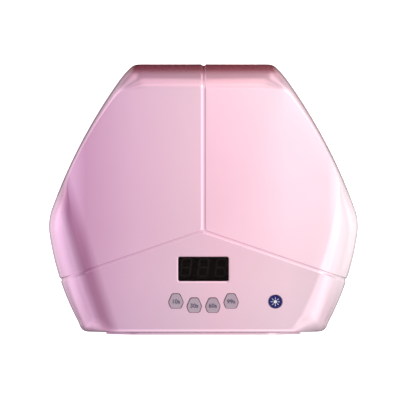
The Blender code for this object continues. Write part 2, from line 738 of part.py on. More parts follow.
def make_tray():
    """The tray: a bent sheet with round rear corners, whose front edge turns down as a finger pull."""
    top = TRAY_BOTTOM + TRAY_THICKNESS
    lip = 0.0034
    bend = 0.0012
    profile = [(TRAY_REAR, TRAY_BOTTOM), (TRAY_REAR, top), (TRAY_FRONT + bend, top),
               (TRAY_FRONT, top - bend), (TRAY_FRONT, lip), (TRAY_FRONT + TRAY_THICKNESS, lip),
               (TRAY_FRONT + TRAY_THICKNESS, TRAY_BOTTOM)]
    tray = part("base_tray", plate([profile], -TRAY_HALF, TRAY_HALF), "tray_steel",
                rotation=(math.pi / 2, 0, math.pi / 2))
    over = 2 * TRAY_CORNER
    round_end = rounded(rectangle(2 * TRAY_HALF + GAP, over * 4, (0, TRAY_REAR - over * 2)), TRAY_CORNER, 6)
    boolean(tray, cutter("tray_outline", plate([round_end], 0, 0.02)), "INTERSECT")


# ---------------------------------------------------------------- the rear electronics and the wiring


def make_rear_electronics():
    x, z = DRIVER_CENTRE
    width, height = DRIVER_SIZE
    board = box((width, BOARD, height), (x, DRIVER_Y, z))
    part("driver_board", board, "circuit_board")
    front = DRIVER_Y - BOARD / 2 - GAP
    coil = cylinder(0.006, 0, 0.0055)
    part("driver_inductor", coil, "copper", location=(0.006, front, 0.028), rotation=FORWARD)
    can = cylinder(0.0032, 0, 0.0075, segments=12)
    part("driver_capacitor", can, "black_plastic", location=(-0.008, front, 0.029), rotation=FORWARD)

    back = DRIVER_Y + BOARD / 2 + GAP
    body = span_box((JACK_X - 0.005, back, JACK_Z - 0.0055), (JACK_X + 0.005, 0.0954, JACK_Z + 0.0055))
    jack = part("dc_jack", body, "black_plastic")
    nose = cylinder(0.0047, -0.0980, -0.0948)
    spot = {"location": (JACK_X, 0, JACK_Z), "rotation": FORWARD}
    boolean(jack, cutter("jack_nose", nose, **spot), "UNION")
    boolean(jack, cutter("jack_bore", cylinder(0.0031, -0.1000, -0.0895), **spot))
    part("dc_jack_pin", cylinder(0.0010, -0.0968, -0.0898, segments=10), "steel", **spot)


def make_wiring():
    """The harnesses from the driver board's upper edge. A route lists the places after its start."""
    top = DRIVER_CENTRE[1] + DRIVER_SIZE[1] / 2 + 2 * GAP
    routes = {
        "control_harness": (-0.020, ((-0.020, 0.082, 0.052), (-0.020, 0.066, 0.063),
                                     (-0.020, 0.040, 0.066), (-0.020, 0.000, 0.067),
                                     (-0.020, -0.020, 0.073), (-0.020, -0.0300, 0.0800))),
        "led_harness_top": (-0.006, ((-0.006, 0.080, 0.052), (-0.006, 0.062, 0.0615), (-0.006, 0.048, 0.0610),
                                     (-0.006, 0.0382, 0.0600))),
        "led_harness_left": (-0.040, ((-0.047, 0.080, 0.048), (-0.058, 0.062, 0.048), (-0.065, 0.036, 0.046),
                                      (-0.065, 0.016, 0.044), (-0.0588, 0.0065, 0.0440))),
        "led_harness_right": (0.016, ((0.032, 0.082, 0.049), (0.050, 0.071, 0.049), (0.060, 0.057, 0.048),
                                      (0.065, 0.036, 0.046), (0.065, 0.016, 0.044),
                                      (0.0588, 0.0065, 0.0440))),
    }
    for name, (x, rest) in routes.items():
        start = ((x, DRIVER_Y, top), (x, DRIVER_Y - 0.0005, top + 0.005))
        wire(name, (*start, *rest), 0.0009, 0.005, "cable")


def main():
    panel = frame_empty("front_panel", (*JUNCTION, CROWN), (PANEL_TILT, 0, 0))
    make_top_shell(panel)
    make_mouth_trim()
    make_display(panel)
    make_keys(panel)
    make_control_board(panel)
    make_badge(panel)
    make_reflector()
    make_base()
    make_tray()
    make_rear_electronics()
    make_wiring()


main()
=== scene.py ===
"""The looks of the UV LED nail lamp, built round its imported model.

The frame is the model's own, in metres: +X to the right, -Y to the front, +Z up, the feet at z = 0.
"""

import fnmatch
import json
import math
from collections import namedtuple

import bmesh
import bpy
from mathutils import Matrix, Vector
from mathutils.geometry import interpolate_bezier, intersect_line_line_2d

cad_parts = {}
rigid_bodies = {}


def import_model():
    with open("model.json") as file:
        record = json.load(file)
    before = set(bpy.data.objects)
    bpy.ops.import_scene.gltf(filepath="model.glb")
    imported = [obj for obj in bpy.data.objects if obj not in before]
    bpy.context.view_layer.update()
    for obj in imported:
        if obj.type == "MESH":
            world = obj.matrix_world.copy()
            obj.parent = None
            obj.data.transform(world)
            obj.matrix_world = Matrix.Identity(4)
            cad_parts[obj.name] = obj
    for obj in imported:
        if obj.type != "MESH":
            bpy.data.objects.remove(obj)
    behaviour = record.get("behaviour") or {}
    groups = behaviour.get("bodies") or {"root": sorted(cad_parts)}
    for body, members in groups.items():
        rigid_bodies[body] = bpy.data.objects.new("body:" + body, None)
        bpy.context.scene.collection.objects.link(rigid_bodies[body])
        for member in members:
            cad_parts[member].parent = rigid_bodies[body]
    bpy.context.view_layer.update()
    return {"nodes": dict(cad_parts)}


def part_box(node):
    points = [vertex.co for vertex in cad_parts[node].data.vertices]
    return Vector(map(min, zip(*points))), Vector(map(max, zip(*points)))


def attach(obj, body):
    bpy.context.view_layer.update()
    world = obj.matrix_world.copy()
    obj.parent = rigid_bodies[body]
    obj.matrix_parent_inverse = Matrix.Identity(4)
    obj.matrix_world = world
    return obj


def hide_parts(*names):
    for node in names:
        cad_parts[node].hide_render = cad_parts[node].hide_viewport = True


for startup_object in list(bpy.data.objects):
    bpy.data.objects.remove(startup_object)
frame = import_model()
NODES = frame["nodes"]

MM = 0.001
GAP = 0.3 * MM


def mm(*points):
    """Points given in millimetres."""
    return [tuple(number * MM for number in point) for point in points]


def at(x, y, z=0.0):
    return Matrix.Translation((x, y, z))


def turn(degrees, axis):
    return Matrix.Rotation(math.radians(degrees), 4, axis)


# The shell's driving sizes, as in the model: three roof panels, rounded shoulders and upright walls.
CROWN = 0.097
PANEL_DEGREES = 19
PANEL_TILT = math.radians(PANEL_DEGREES)
JUNCTION = Vector((0, -0.023))
LEG_SLOPE = 0.343
SIDE_FALL = LEG_SLOPE * math.tan(PANEL_TILT)
WALL = 0.0024
INNER_STEP = 1.7 * WALL  # how much sooner the inner face's shoulder starts
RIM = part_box("top_shell")[0].z
SHOULDER_BASE = 0.034
BROW_BASE = 0.067
BROW_HALF = 0.0628
CORNER_HALF = 0.0885
FRONT = -0.0963
FRONT_DEPTH = 0.008
REAR = 0.0982
BEYOND = 0.5  # farther than any outline reaches
# Half outlines in plan, from rear to front: x, y, the bulge of the arc to the next point, and its pieces.
WALL_OUTLINE = (
    (0.0, REAR, 0, 1),
    (0.0485, REAR, 0.0006, 2),
    (0.0525, 0.0962, 0.0004, 2),
    (0.0620, 0.0852, 0.0036, 7),
    (0.1109, -0.0090, 0.0012, 4),
    (0.1115, -0.0280, 0.0029, 5),
    (0.0900, -0.0910, 0.0016, 3),
    (0.0850, FRONT, 0, 4),
    (0.0640, FRONT, 0, 1),
    (0.0, FRONT, 0, 1),
)
ROOF_OUTLINE = (
    (0.0, 0.0790, 0, 1),
    (0.0540, 0.0790, 0.0012, 3),
    (0.0625, 0.0745, 0.0022, 4),
    (0.0964, 0.0175, 0.0007, 3),
    (0.0978, 0.0080, 0.0050, 6),
    (0.0635, -0.0933, 0, 1),
    (0.0, -0.0933, 0, 1),
)

# How finely the shell is drawn.
ARC_FINENESS = 8
COLUMN_SPACING = 1.2 * MM
WALL_SOFTENING = 6
ROOF_SOFTENING = 8
SHOULDER_STEPS = 18
INNER_SHOULDER_STEPS = 8
PANEL_SHARES = (0.08, 0.18, 0.30, 0.42, 0.54, 0.66, 0.78, 0.90, 1.0)
WALL_SHARES = (0.2, 0.4, 0.6, 0.8, 1.0)
EDGE_ROUND = 0.8 * MM
EDGE_STEPS = 4
PANEL_RISE = 1.0 * MM  # how far the middle of a rear panel bulges
ROUND_HANDLE = 0.5523  # how far a quarter round's handles reach towards its corner

# The grooves: half widths, depth, and the fillet where they meet. The profile's rows are a share of the half
# width and the shares of the depth there, on a side that falls steeply and on one with a wide chamfer.
REAR_GROOVE_HALF = 1.8 * MM
SIDE_GROOVE_HALF = 1.5 * MM
GROOVE_DEPTH = 1.0 * MM
GROOVE_FILLET = 2.4 * MM
GROOVE_PROFILE = (
    (0, 1, 1),
    (0.15, 1, 0.95),
    (0.30, 1, 0.82),
    (0.50, 0.98, 0.60),
    (0.64, 0.80, 0.43),
    (0.75, 0.48, 0.30),
    (0.86, 0.18, 0.17),
    (0.98, 0.03, 0.06),
    (1.12, 0, 0),
)
STEEP, WIDE = 1, 2

# The front panel's fittings, in the panel's own frame: origin at the junction, +Z out of the panel.
PANEL = at(*JUNCTION, CROWN) @ turn(PANEL_DEGREES, "X")
WINDOW = (0.0358, 0.0180)
WINDOW_Y = -0.0291
KEYS = (("key_10s", -0.0199, -0.0533), ("key_30s", -0.0067, -0.0565),
        ("key_60s", 0.0067, -0.0565), ("key_99s", 0.0199, -0.0533))
KEY_OUTLINE = ((-0.0026, 0.0054), (0.0026, 0.0054), (0.0052, -0.0008), (0.0036, -0.0054),
               (-0.0036, -0.0054), (-0.0052, -0.0008))
KEY_TOP = 0.5 * MM
BADGE = (0.0519, -0.0538)
BADGE_RADIUS = 5.0 * MM

# The reflector, its boards' facets and the LEDs' places in each facet's own frame, +Z away from the hand.
REFLECTOR_HALF = 0.067
REFLECTOR_REAR = 0.062
REFLECTOR_BEND = 0.010
REFLECTOR_FRONT = -0.0907
REFLECTOR_BASE = 0.0084
REFLECTOR_WALL = 1.5 * MM
REFLECTOR_RINGS = ((-0.009, REFLECTOR_BASE), (0, REFLECTOR_BASE), (0, 0.026), (0.0015, 0.030),
                   (0.0195, 0.055), (0.0220, 0.057))
ROOF = REFLECTOR_RINGS[-1][1]
CORNER_POWER = 3.5
FACET_DEGREES = math.degrees(math.atan2(0.025, 0.018))
FACET_MIDDLE = 0.0105
FACET_HEIGHT = 0.0425
SIDE_X = REFLECTOR_HALF - FACET_MIDDLE
REAR_Y = REFLECTOR_BEND + REFLECTOR_REAR - FACET_MIDDLE
SIDE_PLACES = [(0, y) for y in (-0.034, -0.017, 0, 0.017, 0.034)]
BANKS = {
    "top": (at(0, -0.012, ROOF),
            [(x, y) for x in (-0.027, -0.009, 0.009, 0.027) for y in (-0.042, -0.021, 0, 0.021, 0.042)]),
    "left": (at(-SIDE_X, -0.035, FACET_HEIGHT) @ turn(-FACET_DEGREES, "Y"), SIDE_PLACES),
    "right": (at(SIDE_X, -0.035, FACET_HEIGHT) @ turn(FACET_DEGREES, "Y"), SIDE_PLACES),
    "rear": (at(0, REAR_Y, FACET_HEIGHT) @ turn(-FACET_DEGREES, "X"), [(x, 0) for x in (-0.016, 0, 0.016)]),
}
LED_HOLE = 3.2 * MM
EYES = ("ir_emitter", "ir_receiver")
SCREW_TURN = math.degrees(0.7)  # how far each base screw is turned past the one before

# The mouth trim's arch, with a slanted facet at each side of its flat top.
MOUTH_HALF = 0.064
MOUTH_TOP = 0.054
MOUTH_FACET = (0.020, 0.028)
MOUTH_ROUND = 0.006
MOUTH_CUT = (0.088, 0.102)  # from where to where in front of the centre it is cut through the shell
SLEEVE = 3.1 * MM
FLANGE = 6.8 * MM

# The rear wall's openings.
JACK_X = -0.026
JACK_Z = 0.0175
JACK_BODY_REAR = 0.0954
SLOT_X = [side * (0.012 + 0.0052 * i) for side in (-1, 1) for i in range(6)]
SLOT_Z = 0.0420
SLOT_WIDTH = 2.4 * MM
SLOT_HEIGHT = 13 * MM

FORWARD = turn(90, "X")  # stands a flat shape up: its +Y becomes +Z, its +Z becomes -Y
BACKWARD = turn(-90, "X")  # its +Z becomes +Y, its +Y becomes -Z
UPSIDE_DOWN = turn(180, "X")


# ---- meshes


def mesh_from(bm, name="shape"):
    bmesh.ops.recalc_face_normals(bm, faces=bm.faces)
    if bm.calc_volume(signed=True) < 0:
        bmesh.ops.reverse_faces(bm, faces=bm.faces)
    mesh = bpy.data.meshes.new(name)
    bm.to_mesh(mesh)
    bm.free()
    return mesh


def strips(bm, lines):
    """Adds the faces between neighbouring lines of as many vertices."""
    for one, other in zip(lines, lines[1:]):
        for corners in zip(one, one[1:], other[1:], other):
            bm.faces.new(corners)


def loft(rings):
    """The skin through closed rings of 3-D points, with flat ends."""
    bm = bmesh.new()
    lines = [[bm.verts.new(point) for point in ring] for ring in rings]
    strips(bm, [line[-1:] + line for line in lines])
    bm.faces.new(lines[0])
    bm.faces.new(lines[-1])
    return mesh_from(bm)


def turned(profile, segments=48):
    """The solid that a profile of (radius, height) points turns about Z. Its two ends lie on the axis."""
    bm = bmesh.new()
    points = [bm.verts.new((radius, 0, height)) for radius, height in profile]
    edges = [bm.edges.new(pair) for pair in zip(points, points[1:])]
    bmesh.ops.spin(bm, geom=points + edges, axis=(0, 0, 1), cent=(0, 0, 0), angle=math.tau, steps=segments)
    bmesh.ops.remove_doubles(bm, verts=bm.verts, dist=1e-7)
    return mesh_from(bm)


def span_box(low, high, bevel=0.0):
    low, high = Vector(low), Vector(high)
    bm = bmesh.new()
    matrix = at(*(low + high) / 2) @ Matrix.Diagonal((*(high - low), 1))
    bmesh.ops.create_cube(bm, size=1, matrix=matrix)
    if bevel:
        bmesh.ops.bevel(bm, geom=bm.edges[:], offset=bevel, segments=3, profile=0.5, affect="EDGES")
    return mesh_from(bm)


def slab(outline, bottom, top):
    return loft([[(*p, z) for p in outline] for z in (bottom, top)])


def joined(placed):
    """One mesh of all the (mesh, matrix) pairs."""
    bm = bmesh.new()
    for mesh, matrix in placed:
        known = len(bm.verts)
        bm.from_mesh(mesh)
        bm.verts.ensure_lookup_table()
        bmesh.ops.transform(bm, matrix=matrix, verts=bm.verts[known:])
    return mesh_from(bm)


def copies(source, matrices):
    return joined([(source, matrix) for matrix in matrices])


def evaluated(obj):
    """The object's mesh with its modifiers applied. The object goes."""
    graph = bpy.context.evaluated_depsgraph_get()
    mesh = bpy.data.meshes.new_from_object(obj.evaluated_get(graph))
    bpy.data.objects.remove(obj)
    return mesh


def added(data, name="temporary"):
    """A new object in the scene, of a mesh, curve or camera."""
    obj = bpy.data.objects.new(name, data)
    bpy.context.scene.collection.objects.link(obj)
    return obj


def modified(obj, kind, **settings):
    modifier = obj.modifiers.new(kind.lower(), kind)
    for name, value in settings.items():
        setattr(modifier, name, value)
    return obj


def combined(mesh, other, operation="DIFFERENCE"):
    """The mesh cut by, joined with or limited to another, as a new mesh."""
    tool = added(other)
    result = evaluated(modified(added(mesh), "BOOLEAN", operation=operation, object=tool))
    bpy.data.objects.remove(tool)
    return result


def bevelled(mesh, width, segments=3, angle=30):
    limits = {"limit_method": "ANGLE", "angle_limit": math.radians(angle)}
    return evaluated(modified(added(mesh), "BEVEL", width=width, segments=segments, **limits))


def plate(outlines, bottom, top):
    """A flat plate with the first outline as its edge and the others as its holes."""
    curve = bpy.data.curves.new("outline", "CURVE")
    curve.dimensions = "2D"
    curve.fill_mode = "BOTH"
    curve.extrude = (top - bottom) / 2
    for outline in outlines:
        spline = curve.splines.new("POLY")
        spline.points.add(len(outline) - 1)
        for point, (x, y) in zip(spline.points, outline):
            point.co = (x, y, 0, 1)
        spline.use_cyclic_u = True
    bm = bmesh.new()
    bm.from_mesh(evaluated(added(curve)))
    bmesh.ops.remove_doubles(bm, verts=bm.verts, dist=1e-6)
    bmesh.ops.dissolve_limit(bm, angle_limit=math.radians(0.1), verts=bm.verts, edges=bm.edges)
    bmesh.ops.translate(bm, verts=bm.verts, vec=(0, 0, (bottom + top) / 2))
    return mesh_from(bm)


# ---- outlines


def bend(start, corner, end, t):
    """The point at t of the quadratic curve from start to end that corner pulls on."""
    return (1 - t) ** 2 * start + 2 * t * (1 - t) * corner + t**2 * end


def eased(before, corner, after, cut, steps):
    """The points that round a corner off, from cut before it to cut after it."""
    start = corner + (before - corner).normalized() * cut
    end = corner + (after - corner).normalized() * cut
    return [bend(start, corner, end, step / steps) for step in range(steps + 1)]


def rounded(corners, cut, steps=8):
    """The closed outline with each corner rounded."""
    loop = [Vector(corner) for corner in corners]
    outline = []
    for before, corner, after in zip(loop[-1:] + loop[:-1], loop, loop[1:] + loop[:1]):
        outline += eased(before, corner, after, cut, steps)
    return outline


def swept(centre, radius, first, last, steps):
    """The points of an arc round centre, from one angle in degrees to another."""
    x, y = centre
    turns = [math.radians(first + (last - first) * step / steps) for step in range(steps + 1)]
    return [(x + radius * math.cos(t), y + radius * math.sin(t)) for t in turns]


def rectangle(width, depth, centre=(0, 0)):
    x, y = centre
    return [(x + i * width / 2, y + j * depth / 2) for i, j in ((-1, -1), (1, -1), (1, 1), (-1, 1))]


def circle(radius, centre=(0, 0), points=32):
    return swept(centre[:2], radius, 0, 360, points)[:-1]


def arc(start, end, bulge, pieces):
    """Points from start up to end, which is left out, on an arc that bulges to the left of its chord."""
    start, end = Vector(start), Vector(end)
    if not bulge:
        return [start.lerp(end, i / pieces) for i in range(pieces)]
    chord = end - start
    radius = chord.length_squared / (8 * bulge) + bulge / 2
    left = Vector((-chord.y, chord.x)).normalized()
    centre = (start + end) / 2 + left * (bulge - radius)
    first = math.atan2(start.y - centre.y, start.x - centre.x)
    sweep = 2 * math.asin(chord.length / 2 / radius)
    angles = [first - sweep * i / pieces for i in range(pieces)]
    return [centre + radius * Vector((math.cos(a), math.sin(a))) for a in angles]


def mirrored(half):
    """The whole closed outline, clockwise from the rear centre, of a half outline with bulges."""
    right = []
    for (x0, y0, bulge, pieces), (x1, y1, *_) in zip(half, half[1:]):
        right += arc((x0, y0), (x1, y1), bulge, pieces * ARC_FINENESS)
    right.append(Vector(half[-1][:2]))
    return right + [Vector((-p.x, p.y)) for p in reversed(right[1:-1])]


def grown(outline, distance):
    """The closed anticlockwise outline moved outwards by distance."""
    loop = [Vector(p) for p in outline]
    moved = []
    for before, here, after in zip(loop[-1:] + loop[:-1], loop, loop[1:] + loop[:1]):
        first = (here - before).normalized()
        second = (after - here).normalized()
        normal = Vector((first.y + second.y, -first.x - second.x))
        moved.append(here + normal * (distance / (1 + first.dot(second))))
    return moved


def evenly_spaced(outline, spacing):
    loop = outline + outline[:1]
    marks = [0.0]
    for a, b in zip(loop, loop[1:]):
        marks.append(marks[-1] + (b - a).length)
    count = round(marks[-1] / spacing)
    points = []
    edge = 0
    for i in range(count):
        target = marks[-1] * i / count
        while marks[edge + 1] < target:
            edge += 1
        share = (target - marks[edge]) / (marks[edge + 1] - marks[edge])
        points.append(loop[edge].lerp(loop[edge + 1], share))
    return points


def softened(outline, passes):
    """The closed outline at even spacing, each point averaged with its neighbours to round the corners."""
    points = evenly_spaced(outline, COLUMN_SPACING)
    for _ in range(passes):
        around = zip(points[-1:] + points[:-1], points, points[1:] + points[:1])
        points = [(a + 2 * b + c) / 4 for a, b, c in around]
    return points


# ---- the top shell


def roof_height(point):
    """The height of the lowest of the three roof planes over a plan point."""
    front = CROWN + (point.y - JUNCTION.y) * math.tan(PANEL_TILT)
    return min(front, CROWN - SIDE_FALL * abs(point.x))


def roof_slope(direction):
    """How fast the roof rises along a plan direction that leads away from the junction."""
    return min(direction.y * math.tan(PANEL_TILT), -SIDE_FALL * abs(direction.x))


def shoulder_base(point):
    """The height where the shoulder ends in the upright wall. It rises to the brow across the front."""
    if point.y > FRONT + FRONT_DEPTH:
        return SHOULDER_BASE
    over = min(1, max(0, abs(point.x) - BROW_HALF) / (CORNER_HALF - BROW_HALF))
    return SHOULDER_BASE + (BROW_BASE - SHOULDER_BASE) * (1 + math.cos(math.pi * over)) / 2


def reach(start, direction, outline):
    """How far the outline is from start along direction. Its edges are lengthened a little, to miss none."""
    best = 0
    for a, b in zip(outline, outline[1:] + outline[:1]):
        extra = (b - a) * 0.01
        hit = intersect_line_line_2d(start, start + direction * BEYOND, a - extra, b + extra)
        if hit:
            best = max(best, (hit - start).length)
    return best


# One line over the shell: its first plan points and their depths, its direction, and how far it bulges.
Column = namedtuple("Column", "lead direction depths bulge", defaults=((0, 0, 0, 0), 0.0))


def panel_columns(first_leg, last_leg, rise, outline):
    """The columns of one panel between two grooves, clockwise. Each contour of the groove is filleted."""
    (first, first_half, first_side), (last, last_half, last_side) = first_leg, last_leg
    first_in = Vector((first.y, -first.x))
    last_in = Vector((-last.y, last.x))
    solve = Matrix((first_in, last_in)).inverted()

    def contour(share, t):
        corner = JUNCTION + solve @ Vector((first_half * share, last_half * share))
        cut = GROOVE_FILLET * share
        return bend(corner + first * cut, corner, corner + last * cut, t)

    def groove_column(row, turns, direction):
        depths = [GROOVE_DEPTH * (row[first_side] * (1 - t) + row[last_side] * t) for t in turns]
        return Column([contour(row[0], t) for t in turns], direction, depths)

    columns = [groove_column(row, (3 / 6, 2 / 6, 1 / 6, 0), first) for row in GROOVE_PROFILE]
    widest = GROOVE_PROFILE[-1][0]
    apex = contour(widest, 0.5)
    margin = 0.4 * COLUMN_SPACING
    inside = [p for p in outline
              if first_in.dot(p - JUNCTION) > first_half * widest + margin
              and last_in.dot(p - JUNCTION) > last_half * widest + margin]
    whole = first.angle(last)
    for point in inside:
        out = (point - apex).normalized()
        lead = [apex + out * (GROOVE_FILLET * k / 3) for k in range(4)]
        columns.append(Column(lead, out, bulge=rise * math.sin(math.pi * first.angle(out) / whole)))
    columns += [groove_column(row, (3 / 6, 4 / 6, 5 / 6, 1), last) for row in reversed(GROOVE_PROFILE[1:])]
    return columns


def shell_line(column, wall_outline, roof_outline, full_outline, thickness):
    """The points of one column, from the junction over the shoulder and down to the rim."""
    start, direction = column.lead[-1], column.direction
    roof_reach = reach(start, direction, roof_outline)
    wall_reach = reach(start, direction, wall_outline)
    depths, bulge, steps = column.depths, column.bulge, SHOULDER_STEPS
    if thickness:
        depths, bulge, steps = (0, 0, 0, 0), 0.0, INNER_SHOULDER_STEPS
        roof_reach -= INNER_STEP
    depth = depths[-1]
    drop = thickness / math.cos(PANEL_TILT)
    line = [Vector((*p, roof_height(p) - drop - d)) for p, d in zip(column.lead, depths)]
    for share in PANEL_SHARES:
        point = start + direction * (roof_reach * share)
        height = roof_height(point) - drop - depth + bulge * math.sin(math.pi * share)
        line.append(Vector((*point, height)))
    slope = roof_slope(direction) - bulge * math.pi / roof_reach
    base = shoulder_base(start + direction * reach(start, direction, full_outline))
    across, top = Vector((roof_reach, line[-1].z)), Vector((wall_reach - depth, base))
    corner = Vector((top.x, across.y + slope * (top.x - across.x)))
    handles = across.lerp(corner, ROUND_HANDLE), top.lerp(corner, ROUND_HANDLE)
    for away, height in interpolate_bezier(across, *handles, top, steps + 1)[1:]:
        line.append(Vector((*(start + direction * away), height)))
    foot = RIM + EDGE_ROUND
    for share in WALL_SHARES:
        line.append(Vector((*line[-1].xy, base + (foot - base) * share)))
    edge = line[-1].xy
    for away, height in swept((-EDGE_ROUND, foot), EDGE_ROUND, 0, -90, EDGE_STEPS)[1:]:
        line.append(Vector((*(edge + direction * (0 if thickness else away)), height)))
    return line


def shell_skin():
    """The closed shell before its openings are cut: outer and inner faces, joined along the rim."""
    full = mirrored(WALL_OUTLINE)
    wall, roof = softened(full, WALL_SOFTENING), softened(mirrored(ROOF_OUTLINE), ROOF_SOFTENING)
    inner_wall = grown(wall, WALL)  # a clockwise outline grows inwards
    right = Vector((1, -LEG_SLOPE)).normalized()
    rear = Vector((0, 1)), REAR_GROOVE_HALF
    right_leg = right, SIDE_GROOVE_HALF
    left_leg = Vector((-right.x, right.y)), SIDE_GROOVE_HALF
    columns = (panel_columns((*rear, STEEP), (*right_leg, STEEP), PANEL_RISE, wall)
               + panel_columns((*right_leg, WIDE), (*left_leg, WIDE), 0.0, wall)
               + panel_columns((*left_leg, STEEP), (*rear, WIDE), PANEL_RISE, wall))
    bm = bmesh.new()
    rims = []
    for outline, thickness in ((wall, 0), (inner_wall, WALL)):
        lines = [[bm.verts.new(p) for p in shell_line(c, outline, roof, full, thickness)] for c in columns]
        strips(bm, lines + lines[:1])
        rims.append([line[-1] for line in lines])
    strips(bm, [rim[-1:] + rim for rim in rims])
    bmesh.ops.remove_doubles(bm, verts=bm.verts, dist=1e-6)
    return mesh_from(bm)


def cutter(outline, rings):
    """A solid along Z from rings of how far the outline has grown and at which height."""
    return loft([[(*p, z) for p in grown(outline, growth)] for growth, z in rings])


def flared(outline, low, flare, high=2 * MM, steps=4):
    """A cutter whose hole widens in a round where it comes out of the face at z = 0."""
    round_off = swept((flare, -flare), flare, 180, 90, steps)[:-1]
    return cutter(outline, [(0, low), *round_off, (flare * 1.1, flare * 0.3), (flare * 1.1, high)])


def chamfered(outline, low, width=0.95 * MM, depth=0.69 * MM):
    """A cutter whose hole widens in a chamfer to the face at z = 0."""
    return cutter(outline, [(0, low), (0, -depth), (width, 0), (width * 2, depth), (width * 2, 2 * MM)])


def shell_openings():
    """One mesh with the cutters of the mouth, window, keys, badge, air slots and jack."""
    mouth = plate([arch(MOUTH_HALF + SLEEVE + GAP, MOUTH_TOP + SLEEVE + GAP, -2 * MM)], *MOUTH_CUT)
    window = chamfered(rounded(rectangle(WINDOW[0] + 2 * GAP, WINDOW[1] + 2 * GAP), 1.5 * MM), -6 * MM)
    key_hole = flared(key_outline(GAP), -6 * MM, 0.5 * MM)
    recess = flared(circle(BADGE_RADIUS + GAP, points=64), -0.6 * MM, 0.25 * MM)
    slot = rounded(rectangle(SLOT_WIDTH, SLOT_HEIGHT), SLOT_WIDTH / 2 - 0.01 * MM, 6)
    air_slot = flared(slot, -8 * MM, 0.4 * MM)
    jack_hole = flared(circle(5.0 * MM, points=48), -5 * MM, 0.5 * MM)
    on_rear = at(0, REAR) @ BACKWARD
    placed = [(mouth, FORWARD), (window, PANEL @ at(0, WINDOW_Y)), (recess, PANEL @ at(*BADGE)),
              (jack_hole, on_rear @ at(JACK_X, -JACK_Z))]
    placed += [(key_hole, PANEL @ at(x, y)) for _, x, y in KEYS]
    placed += [(air_slot, on_rear @ at(x, -SLOT_Z)) for x in SLOT_X]
    return joined(placed)


def arch(half, top, bottom, steps=8):
    """The mouth's outline in x and z: upright sides, slanted facets and a flat top, with soft corners."""
    facet_width, facet_height = MOUTH_FACET
    corners = [(-half, top - facet_height), (-half + facet_width, top),
               (half - facet_width, top), (half, top - facet_height)]
    soft = rounded([(-half, bottom), *corners, (half, bottom)], MOUTH_ROUND, steps)
    arched = [point for point in soft if point.y > top - facet_height - 1.3 * MOUTH_ROUND]
    return [Vector((-half, bottom)), *arched, Vector((half, bottom))]


def key_outline(growth):
    half_width, half_depth = (max(values) for values in zip(*KEY_OUTLINE))
    scaled = [(x * (1 + growth / half_width), y * (1 + growth / half_depth)) for x, y in KEY_OUTLINE]
    return rounded(scaled, 1.4 * MM)[::-1]


# ---- pieces


def piece(name, mesh, material, replaces=(), matrix=None, body="housing", angle=35):
    """Adds a piece that rides on a body, shaded smooth up to angle degrees."""
    if matrix is not None:
        mesh.transform(matrix)
    mesh.materials.clear()
    mesh.materials.append(material)
    mesh.shade_smooth()
    mesh.set_sharp_from_angle(angle=math.radians(angle))
    mesh.name = name
    obj = added(mesh, name)
    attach(obj, body)
    if replaces:
        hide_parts(*replaces)
    return obj


def weighted(obj):
    """Keeps the large flat faces flat where small rounded ones meet them."""
    return modified(obj, "WEIGHTED_NORMAL", keep_sharp=True, weight=80)


def make_top_shell(material):
    mesh = combined(shell_skin(), shell_openings())
    weighted(piece("shell", mesh, material, ["top_shell"], angle=34))


def make_mouth_trim(material):
    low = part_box("mouth_trim")[0].z
    front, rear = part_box("mouth_trim")[0].y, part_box("mouth_trim")[1].y
    face = FRONT - GAP
    lip = 0.55 * MM
    section = [(0, rear), (0, front + 2 * lip)]
    section += swept((lip, front + lip), lip, 180, 270, 4)
    section += swept((FLANGE - lip, front + lip), lip, 270, 360, 4)
    section += [(FLANGE, face), (SLEEVE, face), (SLEEVE, rear)]
    rings = [[(p.x, y, p.y) for p in arch(MOUTH_HALF + out, MOUTH_TOP + out, low)] for out, y in section]
    weighted(piece("mouth_lip", loft(list(zip(*rings))), material, ["mouth_trim"]))


def rounded_prism(outline, bottom, top, edge, dish=0.0, steps=4, inner_rings=6):
    """An upright prism with a rounded upper edge, whose top is dished by a shallow bowl."""
    rings = [[(*p, bottom) for p in outline]]
    for growth, height in swept((-edge, top - edge), edge, 0, 90, steps):
        rings.append([(*p, height) for p in grown(outline, growth)])
    rim = rings[-1]
    for i in range(1, inner_rings):
        share = 1 - i / inner_rings
        rings.append([(x * share, y * share, z - dish * (1 - share**2)) for x, y, z in rim])
    return loft(rings)


def label(text, size, thickness):
    """A word as a solid, centred on the origin."""
    curve = bpy.data.curves.new(text, "FONT")
    curve.body = text
    curve.size = size
    curve.align_x = curve.align_y = "CENTER"
    curve.extrude = thickness / 2
    curve.offset = 0.07 * MM
    bm = bmesh.new()
    bm.from_mesh(evaluated(added(curve)))
    bmesh.ops.remove_doubles(bm, verts=bm.verts, dist=1e-7)
    return mesh_from(bm)


def make_keys(plastic, ink):
    for name, x, y in KEYS:
        spot = PANEL @ at(x, y)
        cap = rounded_prism(key_outline(0), -3.4 * MM, KEY_TOP, 0.45 * MM, dish=0.12 * MM)
        flange = slab(key_outline(0.9 * MM), -4.0 * MM, -2.8 * MM)
        stem = turned(mm((0, -3.6), (1.7, -3.6), (1.7, -5.7), (1.5, -5.9), (0, -5.9)), 32)
        cap = combined(combined(cap, flange, "UNION"), stem, "UNION")
        piece(name + "_button", cap, plastic, [name + "_cap"], spot, name)
        word = label(name.removeprefix("key_"), 4.4 * MM, 0.16 * MM)
        place = spot @ at(0, -0.4 * MM, KEY_TOP - 0.1 * MM)
        piece(name + "_label", word, ink, matrix=place, body=name)


